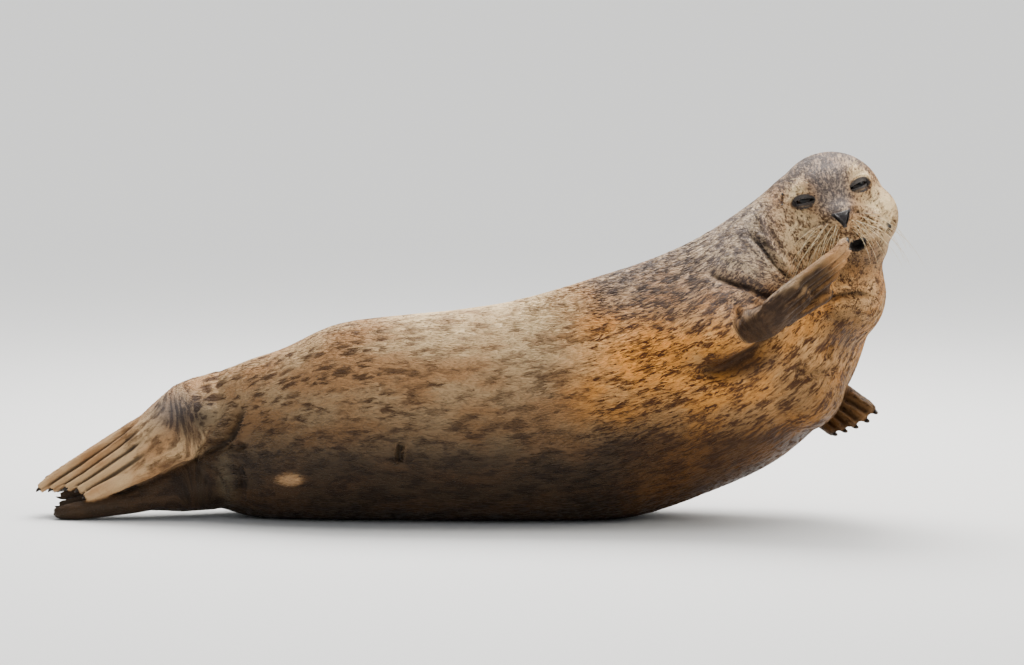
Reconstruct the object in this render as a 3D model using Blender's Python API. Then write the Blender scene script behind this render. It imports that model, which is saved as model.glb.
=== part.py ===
"""A harbor seal resting on its side, life size, its head raised and one fore flipper lifted to its mouth.

Metres, +Z up. The seal's belly faces -Y, its back +Y, its head is at +X and its tail at -X. It lies on its
left side, so its own right flippers are the upper ones. The body is modelled whole from lofts and ellipsoids,
fused, and then parted with thin flat cuts. Flippers, claws and eyes are solids of their own that meet it
with a gap.
"""
import math

import bmesh
import bpy
import numpy as np
from mathutils import Matrix, Vector

# ---------------------------------------------------------------- driving dimensions
GAP = 0.0004                  # clearance between touching solids
FLOOR = 0.0                   # level of the flats that the seal rests on
BODY_VOXEL = 0.0065           # grain of the fused trunk and head
LIMB_VOXEL = 0.0036           # grain of the fused flippers
TRUNK_FACES = 3400            # triangles kept in the trunk and head together
FORE_FACES = 440              # triangles kept in each fore flipper
HIND_FACES = 440              # triangles kept in each hind flipper

# The trunk's stations from the hips to the neck: the centre's place, half the height, half the thickness
# from belly to back, and how far the section leans towards the tail, in degrees.
#      x      y      z      half   half   lean
TRUNK = (
    (-0.476, 0.028, 0.144, 0.118, 0.086, -12.0),
    (-0.428, 0.022, 0.149, 0.138, 0.113, -10.0),
    (-0.360, 0.014, 0.151, 0.157, 0.142, -8.0),
    (-0.252, 0.004, 0.172, 0.180, 0.168, -3.0),
    (-0.126, 0.000, 0.180, 0.188, 0.182, 0.0),
    (0.000, 0.000, 0.185, 0.195, 0.190, 2.0),
    (0.126, 0.000, 0.195, 0.206, 0.194, 6.0),
    (0.252, 0.000, 0.216, 0.220, 0.194, 10.0),
    (0.378, 0.000, 0.257, 0.218, 0.190, 15.0),
    (0.487, 0.002, 0.309, 0.213, 0.178, 22.0),
    (0.574, 0.006, 0.386, 0.192, 0.160, 31.0),
    (0.622, 0.014, 0.462, 0.158, 0.140, 38.0),
    (0.646, 0.020, 0.525, 0.128, 0.118, 44.0),
)

# The head's own frame: its centre, and its right-to-left, forward and up directions.
HEAD_CENTRE = Vector((0.646, 0.000, 0.567))
HEAD_ROLL = 16.0              # degrees that the crown leans towards the tail
HEAD_YAW = 3.8                # degrees that the nose turns towards +X
HEAD_PITCH = -4.0             # degrees that the nose points down
EYE_RADIUS = 0.0185
EYE_PLACE = (0.0455, 0.0640, 0.0320)      # of the left eye's centre: sideways, forward, up
EYE_SLIT = (0.0170, 0.0042)               # half length and half height of the narrowed eye
MOUTH_LEVEL = -0.048                      # height of the lips' middle
MOUTH_RISE = 0.022                        # how much higher the mouth's corners are
MOUTH_BACK = 0.058                        # how far forward the centre of the lips' arc is
MOUTH_WIDE = 0.074                        # the arc's half width
MOUTH_LONG = 0.078                        # the arc's length ahead of its centre
MOUTH_TURN = 78.0                         # how far the lips run round the arc, in degrees either way
NOSTRIL = (0.0085, 0.0022, 0.011)         # half length, half width and depth of each nostril slit
NOSTRIL_PLACE = (0.0075, 0.152, -0.0095)  # of the left nostril: sideways, forward, up

# Claws: base radius, length past the digit's end, and length sunk in the digit.
FORE_CLAW = (0.0042, 0.026, 0.012)
HIND_CLAW = (0.0032, 0.015, 0.012)
WEB_HALF = 0.0032                         # half the thickness of the skin between two digits
WEB_END = 0.86                            # how far along the digits that skin runs

FUR, PALE_FUR = (0.30, 0.19, 0.10), (0.48, 0.38, 0.25)
EYE_BLACK, HORN = (0.015, 0.012, 0.010), (0.05, 0.045, 0.042)


# ---------------------------------------------------------------- small tools
def clear_scene():
    for obj in list(bpy.data.objects):
        bpy.data.objects.remove(obj)


def material(name, colour, roughness):
    made = bpy.data.materials.new(name)
    made.use_nodes = True
    shader = made.node_tree.nodes["Principled BSDF"]
    shader.inputs["Base Color"].default_value = (*colour, 1.0)
    shader.inputs["Roughness"].default_value = roughness
    return made


def add_object(name, mesh_or_bmesh, finish=None):
    """A linked object from a mesh or a bmesh, shaded smooth."""
    if isinstance(mesh_or_bmesh, bmesh.types.BMesh):
        mesh = bpy.data.meshes.new(name)
        mesh_or_bmesh.to_mesh(mesh)
        mesh_or_bmesh.free()
    else:
        mesh = mesh_or_bmesh
    mesh.shade_smooth()
    obj = bpy.data.objects.new(name, mesh)
    bpy.context.scene.collection.objects.link(obj)
    if finish is not None:
        mesh.materials.clear()
        mesh.materials.append(finish)
    return obj


def curve_through(rows, steps):
    """Catmull-Rom samples through every row of numbers, with this many steps to a span."""
    rows = np.asarray(rows, float)
    padded = np.vstack([2 * rows[0] - rows[1], rows, 2 * rows[-1] - rows[-2]])
    samples = []
    for before, start, end, after in zip(padded, padded[1:], padded[2:], padded[3:]):
        for step in range(steps):
            t = step / steps
            samples.append(0.5 * (2 * start + (end - before) * t
                                  + (2 * before - 5 * start + 4 * end - after) * t ** 2
                                  + (3 * start - before - 3 * end + after) * t ** 3))
    samples.append(rows[-1])
    return np.array(samples)


def face_outwards(form):
    form.normal_update()
    bmesh.ops.recalc_face_normals(form, faces=form.faces)
    form.normal_update()


def loft(rings):
    """A closed bmesh through rings of equally many points, with a fan at each end."""
    form = bmesh.new()
    loops = [[form.verts.new(point) for point in ring] for ring in rings]
    count = len(loops[0])
    for lower, upper in zip(loops, loops[1:]):
        for i in range(count):
            j = (i + 1) % count
            form.faces.new((lower[i], lower[j], upper[j], upper[i]))
    for loop in (loops[0], loops[-1]):
        middle = form.verts.new(sum((v.co for v in loop), Vector()) / count)
        for i in range(count):
            form.faces.new((loop[i], loop[(i + 1) % count], middle))
    face_outwards(form)
    return form


def round_ring(centre, side, rise, sides):
    """Points of an ellipse with these two half axes."""
    turns = [2 * math.pi * i / sides for i in range(sides)]
    return [centre + side * math.cos(turn) + rise * math.sin(turn) for turn in turns]


def rounded_tube(rows, across, steps=3, sides=16):
    """A round-ended tube along rows of (x, y, z, half width, half thickness), its width towards `across`."""
    samples = curve_through(rows, steps)
    centres = [Vector(row[:3]) for row in samples]
    rings = []
    last = len(samples) - 1
    for i, row in enumerate(samples):
        along = (centres[min(i + 1, last)] - centres[max(i - 1, 0)]).normalized()
        side = (across - along * across.dot(along)).normalized()
        rise = along.cross(side)
        half_width, half_thick = row[3], row[4]
        turned = [(0.0, 1.0)]
        if i in (0, last):
            turned += [(math.sin(math.radians(a)), math.cos(math.radians(a))) for a in (30.0, 55.0, 76.0)]
        outward = -1 if i == 0 else 1
        reach = min(half_width, half_thick)
        ends = [round_ring(centres[i] + along * outward * reach * push, side * half_width * scale,
                           rise * half_thick * scale, sides) for push, scale in turned]
        rings += ends[::-1] if i == 0 else ends
    return loft(rings)


def ellipsoid(centre, axes, radii, rings=16, sides=24):
    """A round ball with half sizes along three directions."""
    form = bmesh.new()
    bmesh.ops.create_uvsphere(form, u_segments=sides, v_segments=rings, radius=1.0)
    turn = Matrix([axes[0] * radii[0], axes[1] * radii[1], axes[2] * radii[2]]).transposed()
    form.transform(Matrix.Translation(centre) @ turn.to_4x4())
    face_outwards(form)
    return form


def fused(name, forms, voxel, smoothing, faces):
    """Closed forms joined into one skin, smoothed, and thinned to about this many triangles."""
    whole = bmesh.new()
    for form in forms:
        mesh = bpy.data.meshes.new("form")
        form.to_mesh(mesh)
        form.free()
        whole.from_mesh(mesh)
        bpy.data.meshes.remove(mesh)
    blank = add_object(name + "_blank", whole)
    remesh = blank.modifiers.new("Fuse", "REMESH")
    remesh.mode, remesh.voxel_size = "VOXEL", voxel
    soften = blank.modifiers.new("Soften", "CORRECTIVE_SMOOTH")
    soften.factor, soften.iterations, soften.use_only_smooth = 0.5, smoothing, True
    flat = evaluated_mesh(blank)
    triangles = sum(len(polygon.vertices) - 2 for polygon in flat.polygons)
    thin = blank.modifiers.new("Thin", "DECIMATE")
    thin.ratio, thin.use_collapse_triangulate = min(1.0, faces / triangles), True
    result = evaluated_mesh(blank)
    bpy.data.objects.remove(blank)
    return result


def evaluated_mesh(obj):
    graph = bpy.context.evaluated_depsgraph_get()
    graph.update()
    return bpy.data.meshes.new_from_object(obj.evaluated_get(graph), depsgraph=graph)


def swollen(mesh, amount):
    """A helper object: the mesh with every point moved out along its normal."""
    copy = mesh.copy()
    normals = [vertex.normal.copy() for vertex in copy.vertices]
    for vertex, normal in zip(copy.vertices, normals):
        vertex.co += normal * amount
    helper = add_object("cutter", copy)
    helper.hide_render = True
    helper.display_type = "WIRE"
    return helper


def cut_by(obj, cutters):
    """The object less these helper objects, as a plain mesh. The helpers stay for other cuts."""
    for cutter in cutters:
        cut = obj.modifiers.new("Cut", "BOOLEAN")
        cut.operation, cut.solver, cut.object = "DIFFERENCE", "EXACT", cutter
    result = evaluated_mesh(obj)
    obj.modifiers.clear()
    obj.data = result
    return obj


def keep_largest(mesh):
    """Drops the crumbs that a cut can leave, and keeps the largest closed body."""
    form = bmesh.new()
    form.from_mesh(mesh)
    bodies, seen = [], set()
    for start in form.verts:
        if start in seen:
            continue
        body, todo = [], [start]
        seen.add(start)
        while todo:
            vertex = todo.pop()
            body.append(vertex)
            for edge in vertex.link_edges:
                other = edge.other_vert(vertex)
                if other not in seen:
                    seen.add(other)
                    todo.append(other)
        bodies.append(body)
    bodies.sort(key=len)
    for body in bodies[:-1]:
        bmesh.ops.delete(form, geom=body, context="VERTS")
    form.to_mesh(mesh)
    form.free()
    return mesh


# ---------------------------------------------------------------- trunk and head
def trunk_form():
    """The barrel of the body as one loft, whose sections lean with the bend of the back."""
    stations = curve_through(TRUNK, 4)
    rings = [trunk_ring(stations[0], 0.35, (-0.031, 0.0)), trunk_ring(stations[0], 0.72, (-0.007, 0.0))]
    rings += [trunk_ring(station) for station in stations]
    rings.append(trunk_ring(stations[-1], 0.6, (0.02, 0.03)))
    return loft(rings)


def trunk_ring(station, scale=1.0, shift=(0.0, 0.0)):
    """The section at one station, or a smaller one past it that rounds off an end."""
    x, y, z, half_high, half_deep, lean = station
    lean = math.radians(lean)
    rise = Vector((-math.sin(lean), 0.0, math.cos(lean)))
    centre = Vector((x + shift[0], y, z + shift[1]))
    return round_ring(centre, Vector((0, half_deep * scale, 0)), rise * half_high * scale, 40)


def head_axes():
    """Sideways (to the seal's own left), forward and up."""
    roll = Matrix.Rotation(math.radians(-HEAD_ROLL), 3, "Y")
    yaw = Matrix.Rotation(math.radians(HEAD_YAW), 3, "Z")
    pitch = Matrix.Rotation(math.radians(-HEAD_PITCH), 3, "X")
    turn = roll @ yaw @ pitch
    return turn @ Vector((1, 0, 0)), turn @ Vector((0, -1, 0)), turn @ Vector((0, 0, 1))


def on_head(sideways, forward, up):
    side, ahead, rise = head_axes()
    return HEAD_CENTRE + side * sideways + ahead * forward + rise * up


def head_forms():
    """Cranium, cheeks, brows, muzzle, whisker pads, nose and chin, as overlapping ellipsoids."""
    axes = head_axes()
    middle = (
        # forward, up, half width, half length, half height
        (0.000, 0.000, 0.098, 0.100, 0.096),     # cranium
        (0.046, 0.036, 0.064, 0.052, 0.046),     # forehead
        (0.086, -0.005, 0.038, 0.060, 0.033),    # bridge of the nose
        (0.078, -0.034, 0.071, 0.062, 0.037),    # upper jaw
        (0.136, -0.009, 0.019, 0.018, 0.016),    # nose pad
        (0.070, -0.076, 0.060, 0.056, 0.033),    # lower jaw and chin
        (0.036, -0.085, 0.080, 0.070, 0.052),    # throat under the jaw
    )
    paired = (
        # sideways, forward, up, half width, half length, half height
        (0.056, 0.020, -0.036, 0.058, 0.066, 0.060),     # cheek
        (0.042, 0.052, 0.052, 0.028, 0.028, 0.016),      # brow
        (0.034, 0.106, -0.030, 0.037, 0.036, 0.027),     # whisker pad
        (0.048, 0.058, 0.030, 0.030, 0.028, 0.026),      # flesh around the eye
    )
    forms = [ellipsoid(on_head(0, ahead, up), axes, sizes) for ahead, up, *sizes in middle]
    for side in (-1, 1):
        forms += [ellipsoid(on_head(side * out, ahead, up), axes, sizes)
                  for out, ahead, up, *sizes in paired]
    return forms


def shoulder_forms():
    """The muscle over each shoulder, from which a fore flipper comes, and the skin under the chin."""
    plain = (Vector((1, 0, 0)), Vector((0, 1, 0)), Vector((0, 0, 1)))
    return [
        ellipsoid(Vector((0.460, -0.112, 0.345)), plain, (0.110, 0.086, 0.085)),     # raised shoulder
        ellipsoid(Vector((0.590, -0.060, 0.245)), plain, (0.085, 0.090, 0.085)),     # lower breast
        ellipsoid(Vector((0.672, -0.040, 0.410)), plain, (0.077, 0.090, 0.090)),     # throat
    ]


def trunk_mesh():
    mesh = fused("trunk", [trunk_form(), *head_forms(), *shoulder_forms()], BODY_VOXEL, 9, TRUNK_FACES)
    for vertex in mesh.vertices:
        vertex.co.z = max(vertex.co.z, FLOOR)
    return mesh


# ---------------------------------------------------------------- flippers
class Flipper:
    """A fan of five digits with web between them, on a stump that runs into the body.

    A digit is where it starts, as (across, palmward), then its tip, as (along, across, palmward), and its
    half thickness. All are measured from the wrist. The first digit is on the flipper's leading edge.
    """

    def __init__(self, name, stump, wrist, along, across, digits, claw):
        self.name = name
        self.stump = stump
        self.wrist = Vector(wrist)
        self.digits = digits
        self.claw = claw
        self.along = Vector(along).normalized()
        across = Vector(across)
        self.across = (across - self.along * across.dot(self.along)).normalized()
        hand = 1 if name.endswith("right") else -1
        self.palm = self.along.cross(self.across) * hand

    def digit_point(self, digit, t):
        """A point on one digit's bent axis: t is 0 at the wrist and 1 at its tip."""
        (start_across, start_palm), (reach, tip_across, tip_palm), _ = digit
        start = self.across * start_across + self.palm * start_palm
        middle = (self.along * reach * 0.55 + self.across * (start_across * 0.6 + tip_across * 0.4)
                  + self.palm * (start_palm * 0.9 + tip_palm * 0.1))
        tip = self.along * reach + self.across * tip_across + self.palm * tip_palm
        return self.wrist + start * (1 - t) ** 2 + middle * (2 * t * (1 - t)) + tip * t ** 2

    def digit_form(self, digit):
        thick = digit[2]
        taper = ((0.0, 1.25, 1.0), (0.3, 1.15, 1.0), (0.6, 1.0, 0.95), (0.85, 0.95, 0.88), (1.0, 0.8, 0.72))
        rows = [(*self.digit_point(digit, t), thick * wide, thick * high) for t, wide, high in taper]
        return rounded_tube(rows, self.across, steps=3, sides=12)

    def web_form(self, first, second):
        """The thin skin between two digits, which stops short of their tips."""
        form = bmesh.new()
        columns = 8
        sheets = []
        for offset in (-WEB_HALF, WEB_HALF):
            rows = []
            for i in range(columns + 1):
                t = WEB_END * i / columns
                left, right = self.digit_point(first, t), self.digit_point(second, t)
                rows.append([form.verts.new(left.lerp(right, share) + self.palm * offset)
                             for share in (0.0, 0.5, 1.0)])
            sheets.append(rows)
        below, above = sheets
        for rows in sheets:
            for lower, upper in zip(rows, rows[1:]):
                for i in range(2):
                    form.faces.new((lower[i], lower[i + 1], upper[i + 1], upper[i]))
        for i in range(2):
            form.faces.new((below[0][i], below[0][i + 1], above[0][i + 1], above[0][i]))
            form.faces.new((below[-1][i], below[-1][i + 1], above[-1][i + 1], above[-1][i]))
        for side in (0, 2):
            for i in range(columns):
                form.faces.new((below[i][side], below[i + 1][side], above[i + 1][side], above[i][side]))
        face_outwards(form)
        return form

    def mesh(self, faces):
        forms = [rounded_tube(self.stump, self.across, steps=4, sides=24)]
        forms += [self.digit_form(digit) for digit in self.digits]
        forms += [self.web_form(a, b) for a, b in zip(self.digits, self.digits[1:])]
        mesh = fused(self.name, forms, LIMB_VOXEL, 4, faces)
        for vertex in mesh.vertices:
            vertex.co.z = max(vertex.co.z, FLOOR)
        return mesh

    def claw_form(self, digit):
        """A curved tapering claw that starts inside the digit's end, on the back of the flipper."""
        radius, length, sunk = self.claw
        tip = self.digit_point(digit, 1.0)
        ahead = (tip - self.digit_point(digit, 0.88)).normalized()
        back = self.palm * -1.0
        side = (self.across - ahead * ahead.dot(self.across)).normalized()
        rise = ahead.cross(side)
        rings = []
        for t, size in ((0.0, 0.9), (0.35, 1.0), (0.75, 0.62), (1.0, 0.14)):
            place = tip + ahead * ((length + sunk) * t - sunk) + back * (digit[2] * 0.35 - 0.006 * t ** 2)
            rings.append(round_ring(place, side * radius * size * 0.8, rise * radius * size, 5))
        return loft(rings)


FLIPPERS = (
    Flipper(
        "fore_flipper_right",
        stump=(
            (0.420, -0.090, 0.315, 0.046, 0.044),
            (0.480, -0.153, 0.350, 0.040, 0.036),
            (0.515, -0.190, 0.371, 0.033, 0.027),
            (0.545, -0.206, 0.394, 0.030, 0.020),
            (0.580, -0.210, 0.427, 0.030, 0.014),
        ),
        wrist=(0.540, -0.205, 0.389), along=(0.70, 0.00, 0.71), across=(0.50, 0.50, -0.70),
        digits=(
            ((-0.026, 0.000), (0.190, 0.010, 0.004), 0.0105),
            ((-0.012, 0.002), (0.190, 0.032, 0.014), 0.0095),
            ((0.002, 0.004), (0.170, 0.040, 0.020), 0.0090),
            ((0.015, 0.006), (0.148, 0.048, 0.022), 0.0085),
            ((0.027, 0.008), (0.112, 0.070, 0.012), 0.0080),
        ),
        claw=FORE_CLAW,
    ),
    Flipper(
        "fore_flipper_left",
        stump=(
            (0.540, 0.130, 0.220, 0.044, 0.036),
            (0.585, 0.110, 0.205, 0.042, 0.030),
            (0.625, 0.075, 0.202, 0.040, 0.024),
            (0.650, 0.030, 0.202, 0.038, 0.018),
        ),
        wrist=(0.642, 0.040, 0.203), along=(0.60, -0.62, -0.42), across=(-0.80, -0.10, -0.60),
        digits=(
            ((-0.036, 0.0), (0.086, -0.040, 0.010), 0.0145),
            ((-0.018, 0.0), (0.086, -0.020, 0.010), 0.0130),
            ((0.000, 0.0), (0.080, 0.000, 0.010), 0.0120),
            ((0.016, 0.0), (0.070, 0.018, 0.010), 0.0115),
            ((0.031, 0.0), (0.060, 0.034, 0.010), 0.0110),
        ),
        claw=FORE_CLAW,
    ),
    Flipper(
        "hind_flipper_right",
        stump=(
            (-0.360, 0.015, 0.172, 0.080, 0.070),
            (-0.430, 0.012, 0.187, 0.080, 0.064),
            (-0.486, 0.004, 0.186, 0.079, 0.056),
            (-0.525, -0.002, 0.166, 0.073, 0.050),
            (-0.560, -0.004, 0.143, 0.067, 0.041),
            (-0.605, -0.005, 0.118, 0.061, 0.028),
            (-0.650, -0.003, 0.098, 0.054, 0.018),
            (-0.695, 0.000, 0.077, 0.046, 0.011),
        ),
        wrist=(-0.560, -0.004, 0.144), along=(-0.89, 0.0, -0.456), across=(-0.33, 0.74, 0.60),
        digits=(
            ((-0.055, 0.0), (0.156, -0.046, 0.0), 0.0145),
            ((-0.028, 0.0), (0.166, -0.022, 0.0), 0.0105),
            ((-0.001, 0.0), (0.186, -0.004, 0.0), 0.0100),
            ((0.026, 0.0), (0.212, 0.010, 0.0), 0.0105),
            ((0.052, 0.0), (0.232, 0.024, 0.0), 0.0130),
        ),
        claw=HIND_CLAW,
    ),
    Flipper(
        "hind_flipper_left",
        stump=(
            (-0.360, 0.030, 0.098, 0.080, 0.070),
            (-0.430, 0.026, 0.090, 0.082, 0.068),
            (-0.486, 0.020, 0.080, 0.080, 0.062),
            (-0.525, 0.014, 0.072, 0.076, 0.054),
            (-0.560, 0.010, 0.067, 0.070, 0.044),
            (-0.605, 0.010, 0.060, 0.063, 0.031),
            (-0.650, 0.012, 0.053, 0.058, 0.020),
            (-0.695, 0.014, 0.047, 0.053, 0.012),
        ),
        wrist=(-0.560, 0.012, 0.070), along=(-0.98, 0.00, -0.18), across=(-0.12, 0.84, 0.53),
        digits=(
            ((-0.054, 0.0), (0.184, -0.046, 0.0), 0.0180),
            ((-0.027, 0.0), (0.182, -0.026, 0.0), 0.0105),
            ((0.000, 0.0), (0.180, 0.000, 0.0), 0.0100),
            ((0.027, 0.0), (0.188, 0.026, 0.0), 0.0105),
            ((0.053, 0.0), (0.204, 0.050, 0.0), 0.0130),
        ),
        claw=HIND_CLAW,
    ),
)


def tail_mesh():
    """The short flat tail between the hind flippers."""
    rows = ((-0.400, 0.062, 0.150, 0.038, 0.030), (-0.460, 0.088, 0.143, 0.033, 0.024),
            (-0.520, 0.106, 0.130, 0.025, 0.014), (-0.568, 0.113, 0.120, 0.014, 0.008))
    return fused("tail", [rounded_tube(rows, Vector((0.2, 0.3, 1.0)))], 0.004, 2, 300)


# ---------------------------------------------------------------- eyes, mouth and nostrils
def eye_centre(side):
    return on_head(side * EYE_PLACE[0], EYE_PLACE[1], EYE_PLACE[2])


def eye_slit_form(side):
    """The narrowed opening between the lids: a lens that runs from inside the eye's hollow to the outside."""
    sideways, forward, up = head_axes()
    gaze = (forward + sideways * side * 0.55 + up * 0.12).normalized()
    wide = (sideways - gaze * sideways.dot(gaze)).normalized()
    high = gaze.cross(wide)
    start = eye_centre(side) + gaze * EYE_RADIUS * 0.7
    return loft([round_ring(start + gaze * reach, wide * EYE_SLIT[0], high * EYE_SLIT[1], 16)
                 for reach in (0, 0.03)])


def mouth_form():
    """A thin curved wedge between the jaws, which rises from the middle to the corners."""
    half_turn, steps = math.radians(MOUTH_TURN), 16
    rings = []
    for i in range(steps + 1):
        turn = half_turn * (2 * i / steps - 1)
        rise = MOUTH_LEVEL + MOUTH_RISE * (1 - math.cos(turn)) / (1 - math.cos(half_turn))
        ring = []
        for reach, lift in ((1.3, 0.0022), (0.72, 0.0005), (0.72, -0.0005), (1.3, -0.0022)):
            ring.append(on_head(MOUTH_WIDE * reach * math.sin(turn),
                                MOUTH_BACK + MOUTH_LONG * reach * math.cos(turn), rise + lift))
        rings.append(ring)
    return loft(rings)


def nostril_form(side):
    """One slit of the nose's V."""
    sideways, forward, up = head_axes()
    half_long, half_wide, deep = NOSTRIL
    lean = (sideways * side * 0.62 + up * 0.78).normalized()
    across = forward.cross(lean)
    start = on_head(side * NOSTRIL_PLACE[0], *NOSTRIL_PLACE[1:])
    rings = [round_ring(start - forward * reach, lean * half_long * size, across * half_wide * size, 10)
             for reach, size in ((-0.01, 1.2), (deep, 0.7))]
    return loft(rings)


def helper_from(form):
    helper = add_object("cutter", form)
    helper.hide_render = True
    helper.display_type = "WIRE"
    return helper


# ---------------------------------------------------------------- parting the body
def plane_at(point, normal):
    return Vector(point), Vector(normal).normalized()


def beyond(mesh, plane, keep):
    """What lies past a plane (keep = 1) or short of it (keep = -1), less half the gap, and closed flat."""
    form = bmesh.new()
    form.from_mesh(mesh)
    point, normal = plane
    cut = bmesh.ops.bisect_plane(form, geom=form.verts[:] + form.edges[:] + form.faces[:], dist=1e-6,
                                 plane_co=point + normal * keep * GAP / 2, plane_no=normal,
                                 clear_inner=keep > 0, clear_outer=keep < 0)
    rim = [item for item in cut["geom_cut"] if isinstance(item, bmesh.types.BMEdge)]
    bmesh.ops.triangle_fill(form, edges=rim, use_beauty=True, normal=normal * -keep)
    face_outwards(form)
    part = bpy.data.meshes.new("part")
    form.to_mesh(part)
    form.free()
    return part


# From tail to nose: each cut lies across the body between the two named stretches.
CUTS = (
    ("rump", plane_at((-0.275, 0, 0.17), (1.0, 0.0, 0.06))),
    ("belly", plane_at((0.175, 0, 0.20), (1.0, 0.0, -0.10))),
    ("chest", plane_at((0.566, 0, 0.365), (0.80, 0.0, 0.52))),
)


def head_plane():
    """From under the chin to the nape."""
    sideways, forward, up = head_axes()
    return on_head(0, -0.005, -0.082), (forward * 0.34 + up * 0.94).normalized()


# ---------------------------------------------------------------- the named pieces
def part_body(body, fur, pale):
    """The rump, belly, chest, neck and head, with the eyes' hollows, the mouth and the nostrils cut."""
    rest = body
    for name, plane in (*CUTS, ("neck", head_plane())):
        add_object(name, beyond(rest, plane, -1), pale if name == "neck" else fur)
        rest = beyond(rest, plane, 1)
    head = add_object("head", rest, pale)
    cutters = [helper_from(mouth_form())]
    for side in (-1, 1):
        hollow = ellipsoid(eye_centre(side), head_axes(), (EYE_RADIUS + GAP,) * 3, 10, 16)
        cutters += [helper_from(form) for form in (hollow, eye_slit_form(side), nostril_form(side))]
    cut_by(head, cutters)


def add_eyes(black):
    for side, name in ((-1, "eye_right"), (1, "eye_left")):
        add_object(name, ellipsoid(eye_centre(side), head_axes(), (EYE_RADIUS,) * 3, 10, 16), black)


def add_tail(around_body, fur):
    """The tail, and the helper that cuts what lies against it."""
    whole = tail_mesh()
    tail = add_object("tail", whole.copy(), fur)
    cut_by(tail, [around_body])
    keep_largest(tail.data)
    return swollen(whole, GAP)


def add_flipper(flipper, faces, in_the_way, around_body, fur, horn):
    """One flipper and its claws, and the helper that cuts what lies against it."""
    whole = flipper.mesh(faces)
    limb = add_object(flipper.name, whole.copy(), fur)
    cut_by(limb, in_the_way)
    keep_largest(limb.data)
    around_limb = swollen(whole, GAP)
    for number, digit in enumerate(flipper.digits, 1):
        name = flipper.name.replace("flipper", "claw") + f"_{number}"
        claw = add_object(name, flipper.claw_form(digit), horn)
        cut_by(claw, [around_limb, around_body])
        keep_largest(claw.data)
    return around_limb


def build():
    fur = material("fur", FUR, 0.75)
    pale = material("pale_fur", PALE_FUR, 0.75)
    black = material("eye_black", EYE_BLACK, 0.08)
    horn = material("horn", HORN, 0.4)

    body = trunk_mesh()
    around_body = swollen(body, GAP)
    part_body(body, fur, pale)
    add_eyes(black)
    in_the_way = [around_body, add_tail(around_body, fur)]
    for flipper in FLIPPERS:
        faces = FORE_FACES if flipper.name.startswith("fore") else HIND_FACES
        in_the_way.append(add_flipper(flipper, faces, in_the_way, around_body, fur, horn))


def stand_on_origin():
    """Moves every solid so that the origin is the middle of the whole seal's box, on the floor."""
    solids = [obj for obj in bpy.data.objects if not obj.hide_render]
    points = np.array([vertex.co for obj in solids for vertex in obj.data.vertices])
    low, high = points.min(axis=0), points.max(axis=0)
    shift = Matrix.Translation((-(low[0] + high[0]) / 2, -(low[1] + high[1]) / 2, FLOOR - low[2]))
    for obj in solids:
        obj.data.transform(shift)


clear_scene()
build()
stand_on_origin()
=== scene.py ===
# %% [markdown]
# # A harbor seal, resting on its side
#
# The packed model gives the seal's size, its pose and the place of every part. This lesson gives it a living
# look: one continuous skin with folds, lids and lips, a short coat that follows the body, whiskers, wet eyes
# and horn claws. The frame is loaded first, because every later piece takes its place from it.

import math

import bmesh
import bpy
import numpy as np
from mathutils import Matrix, Vector
from mathutils.bvhtree import BVHTree


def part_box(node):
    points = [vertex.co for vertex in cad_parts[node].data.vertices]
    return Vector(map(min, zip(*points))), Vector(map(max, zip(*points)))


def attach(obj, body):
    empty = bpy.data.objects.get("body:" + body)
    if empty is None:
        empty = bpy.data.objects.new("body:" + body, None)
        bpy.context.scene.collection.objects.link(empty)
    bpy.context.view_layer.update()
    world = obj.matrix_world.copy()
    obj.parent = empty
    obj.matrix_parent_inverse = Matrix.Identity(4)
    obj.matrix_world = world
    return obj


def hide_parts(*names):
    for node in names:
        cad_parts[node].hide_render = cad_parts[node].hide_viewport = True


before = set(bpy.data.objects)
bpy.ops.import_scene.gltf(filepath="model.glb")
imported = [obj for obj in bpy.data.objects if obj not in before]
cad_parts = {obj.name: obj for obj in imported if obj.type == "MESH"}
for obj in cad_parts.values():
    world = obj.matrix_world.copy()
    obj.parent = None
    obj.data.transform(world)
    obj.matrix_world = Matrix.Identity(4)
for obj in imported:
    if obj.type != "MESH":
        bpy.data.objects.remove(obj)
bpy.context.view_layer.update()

# %% [markdown]
# ## Camera
#
# A long lens from far away shows the body with little foreshortening, and a low place beside the animal
# shows the belly side.

# %% Place the camera
CAMERA_FAR = 9.0  # metres from the seal
CAMERA_RISE = math.radians(6.0)  # above the horizon
VIEW_WIDTH = 1.843  # metres across the picture at the seal
AIM = Vector((0.0844, 0.0174, 0.3357))  # the point of the seal in the middle of the picture
SENSOR = 36.0  # millimetres across

scene = bpy.context.scene
eye_level = bpy.data.cameras.new("camera")
eye_level.sensor_width = SENSOR
eye_level.lens = SENSOR * CAMERA_FAR / VIEW_WIDTH
camera = bpy.data.objects.new("camera", eye_level)
backwards = Vector((0.0, -math.cos(CAMERA_RISE), math.sin(CAMERA_RISE)))
camera.location = AIM + backwards * CAMERA_FAR
camera.rotation_euler = backwards.to_track_quat("Z", "Y").to_euler()
scene.collection.objects.link(camera)
scene.camera = camera
print("the camera looks from", [round(value, 2) for value in camera.location])

# %% [markdown]
# ## Floor
#
# The floor is one plain pale disc, so wide that its far edge reads as a horizon. Most finishes start in the
# same way, as a Principled shader with a colour and a roughness, so a helper makes that start.

# %% Lay the floor
FLOOR_RADIUS, FLOOR_SIDES = 60.0, 96
FLOOR_COLOUR = (0.80, 0.80, 0.79)


def plain_material(name, colour, roughness):
    """A Principled material and its shader."""
    made = bpy.data.materials.new(name)
    made.use_nodes = True
    shader = made.node_tree.nodes["Principled BSDF"]
    shader.inputs["Base Color"].default_value = (*colour, 1.0)
    shader.inputs["Roughness"].default_value = roughness
    return made, shader


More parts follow.
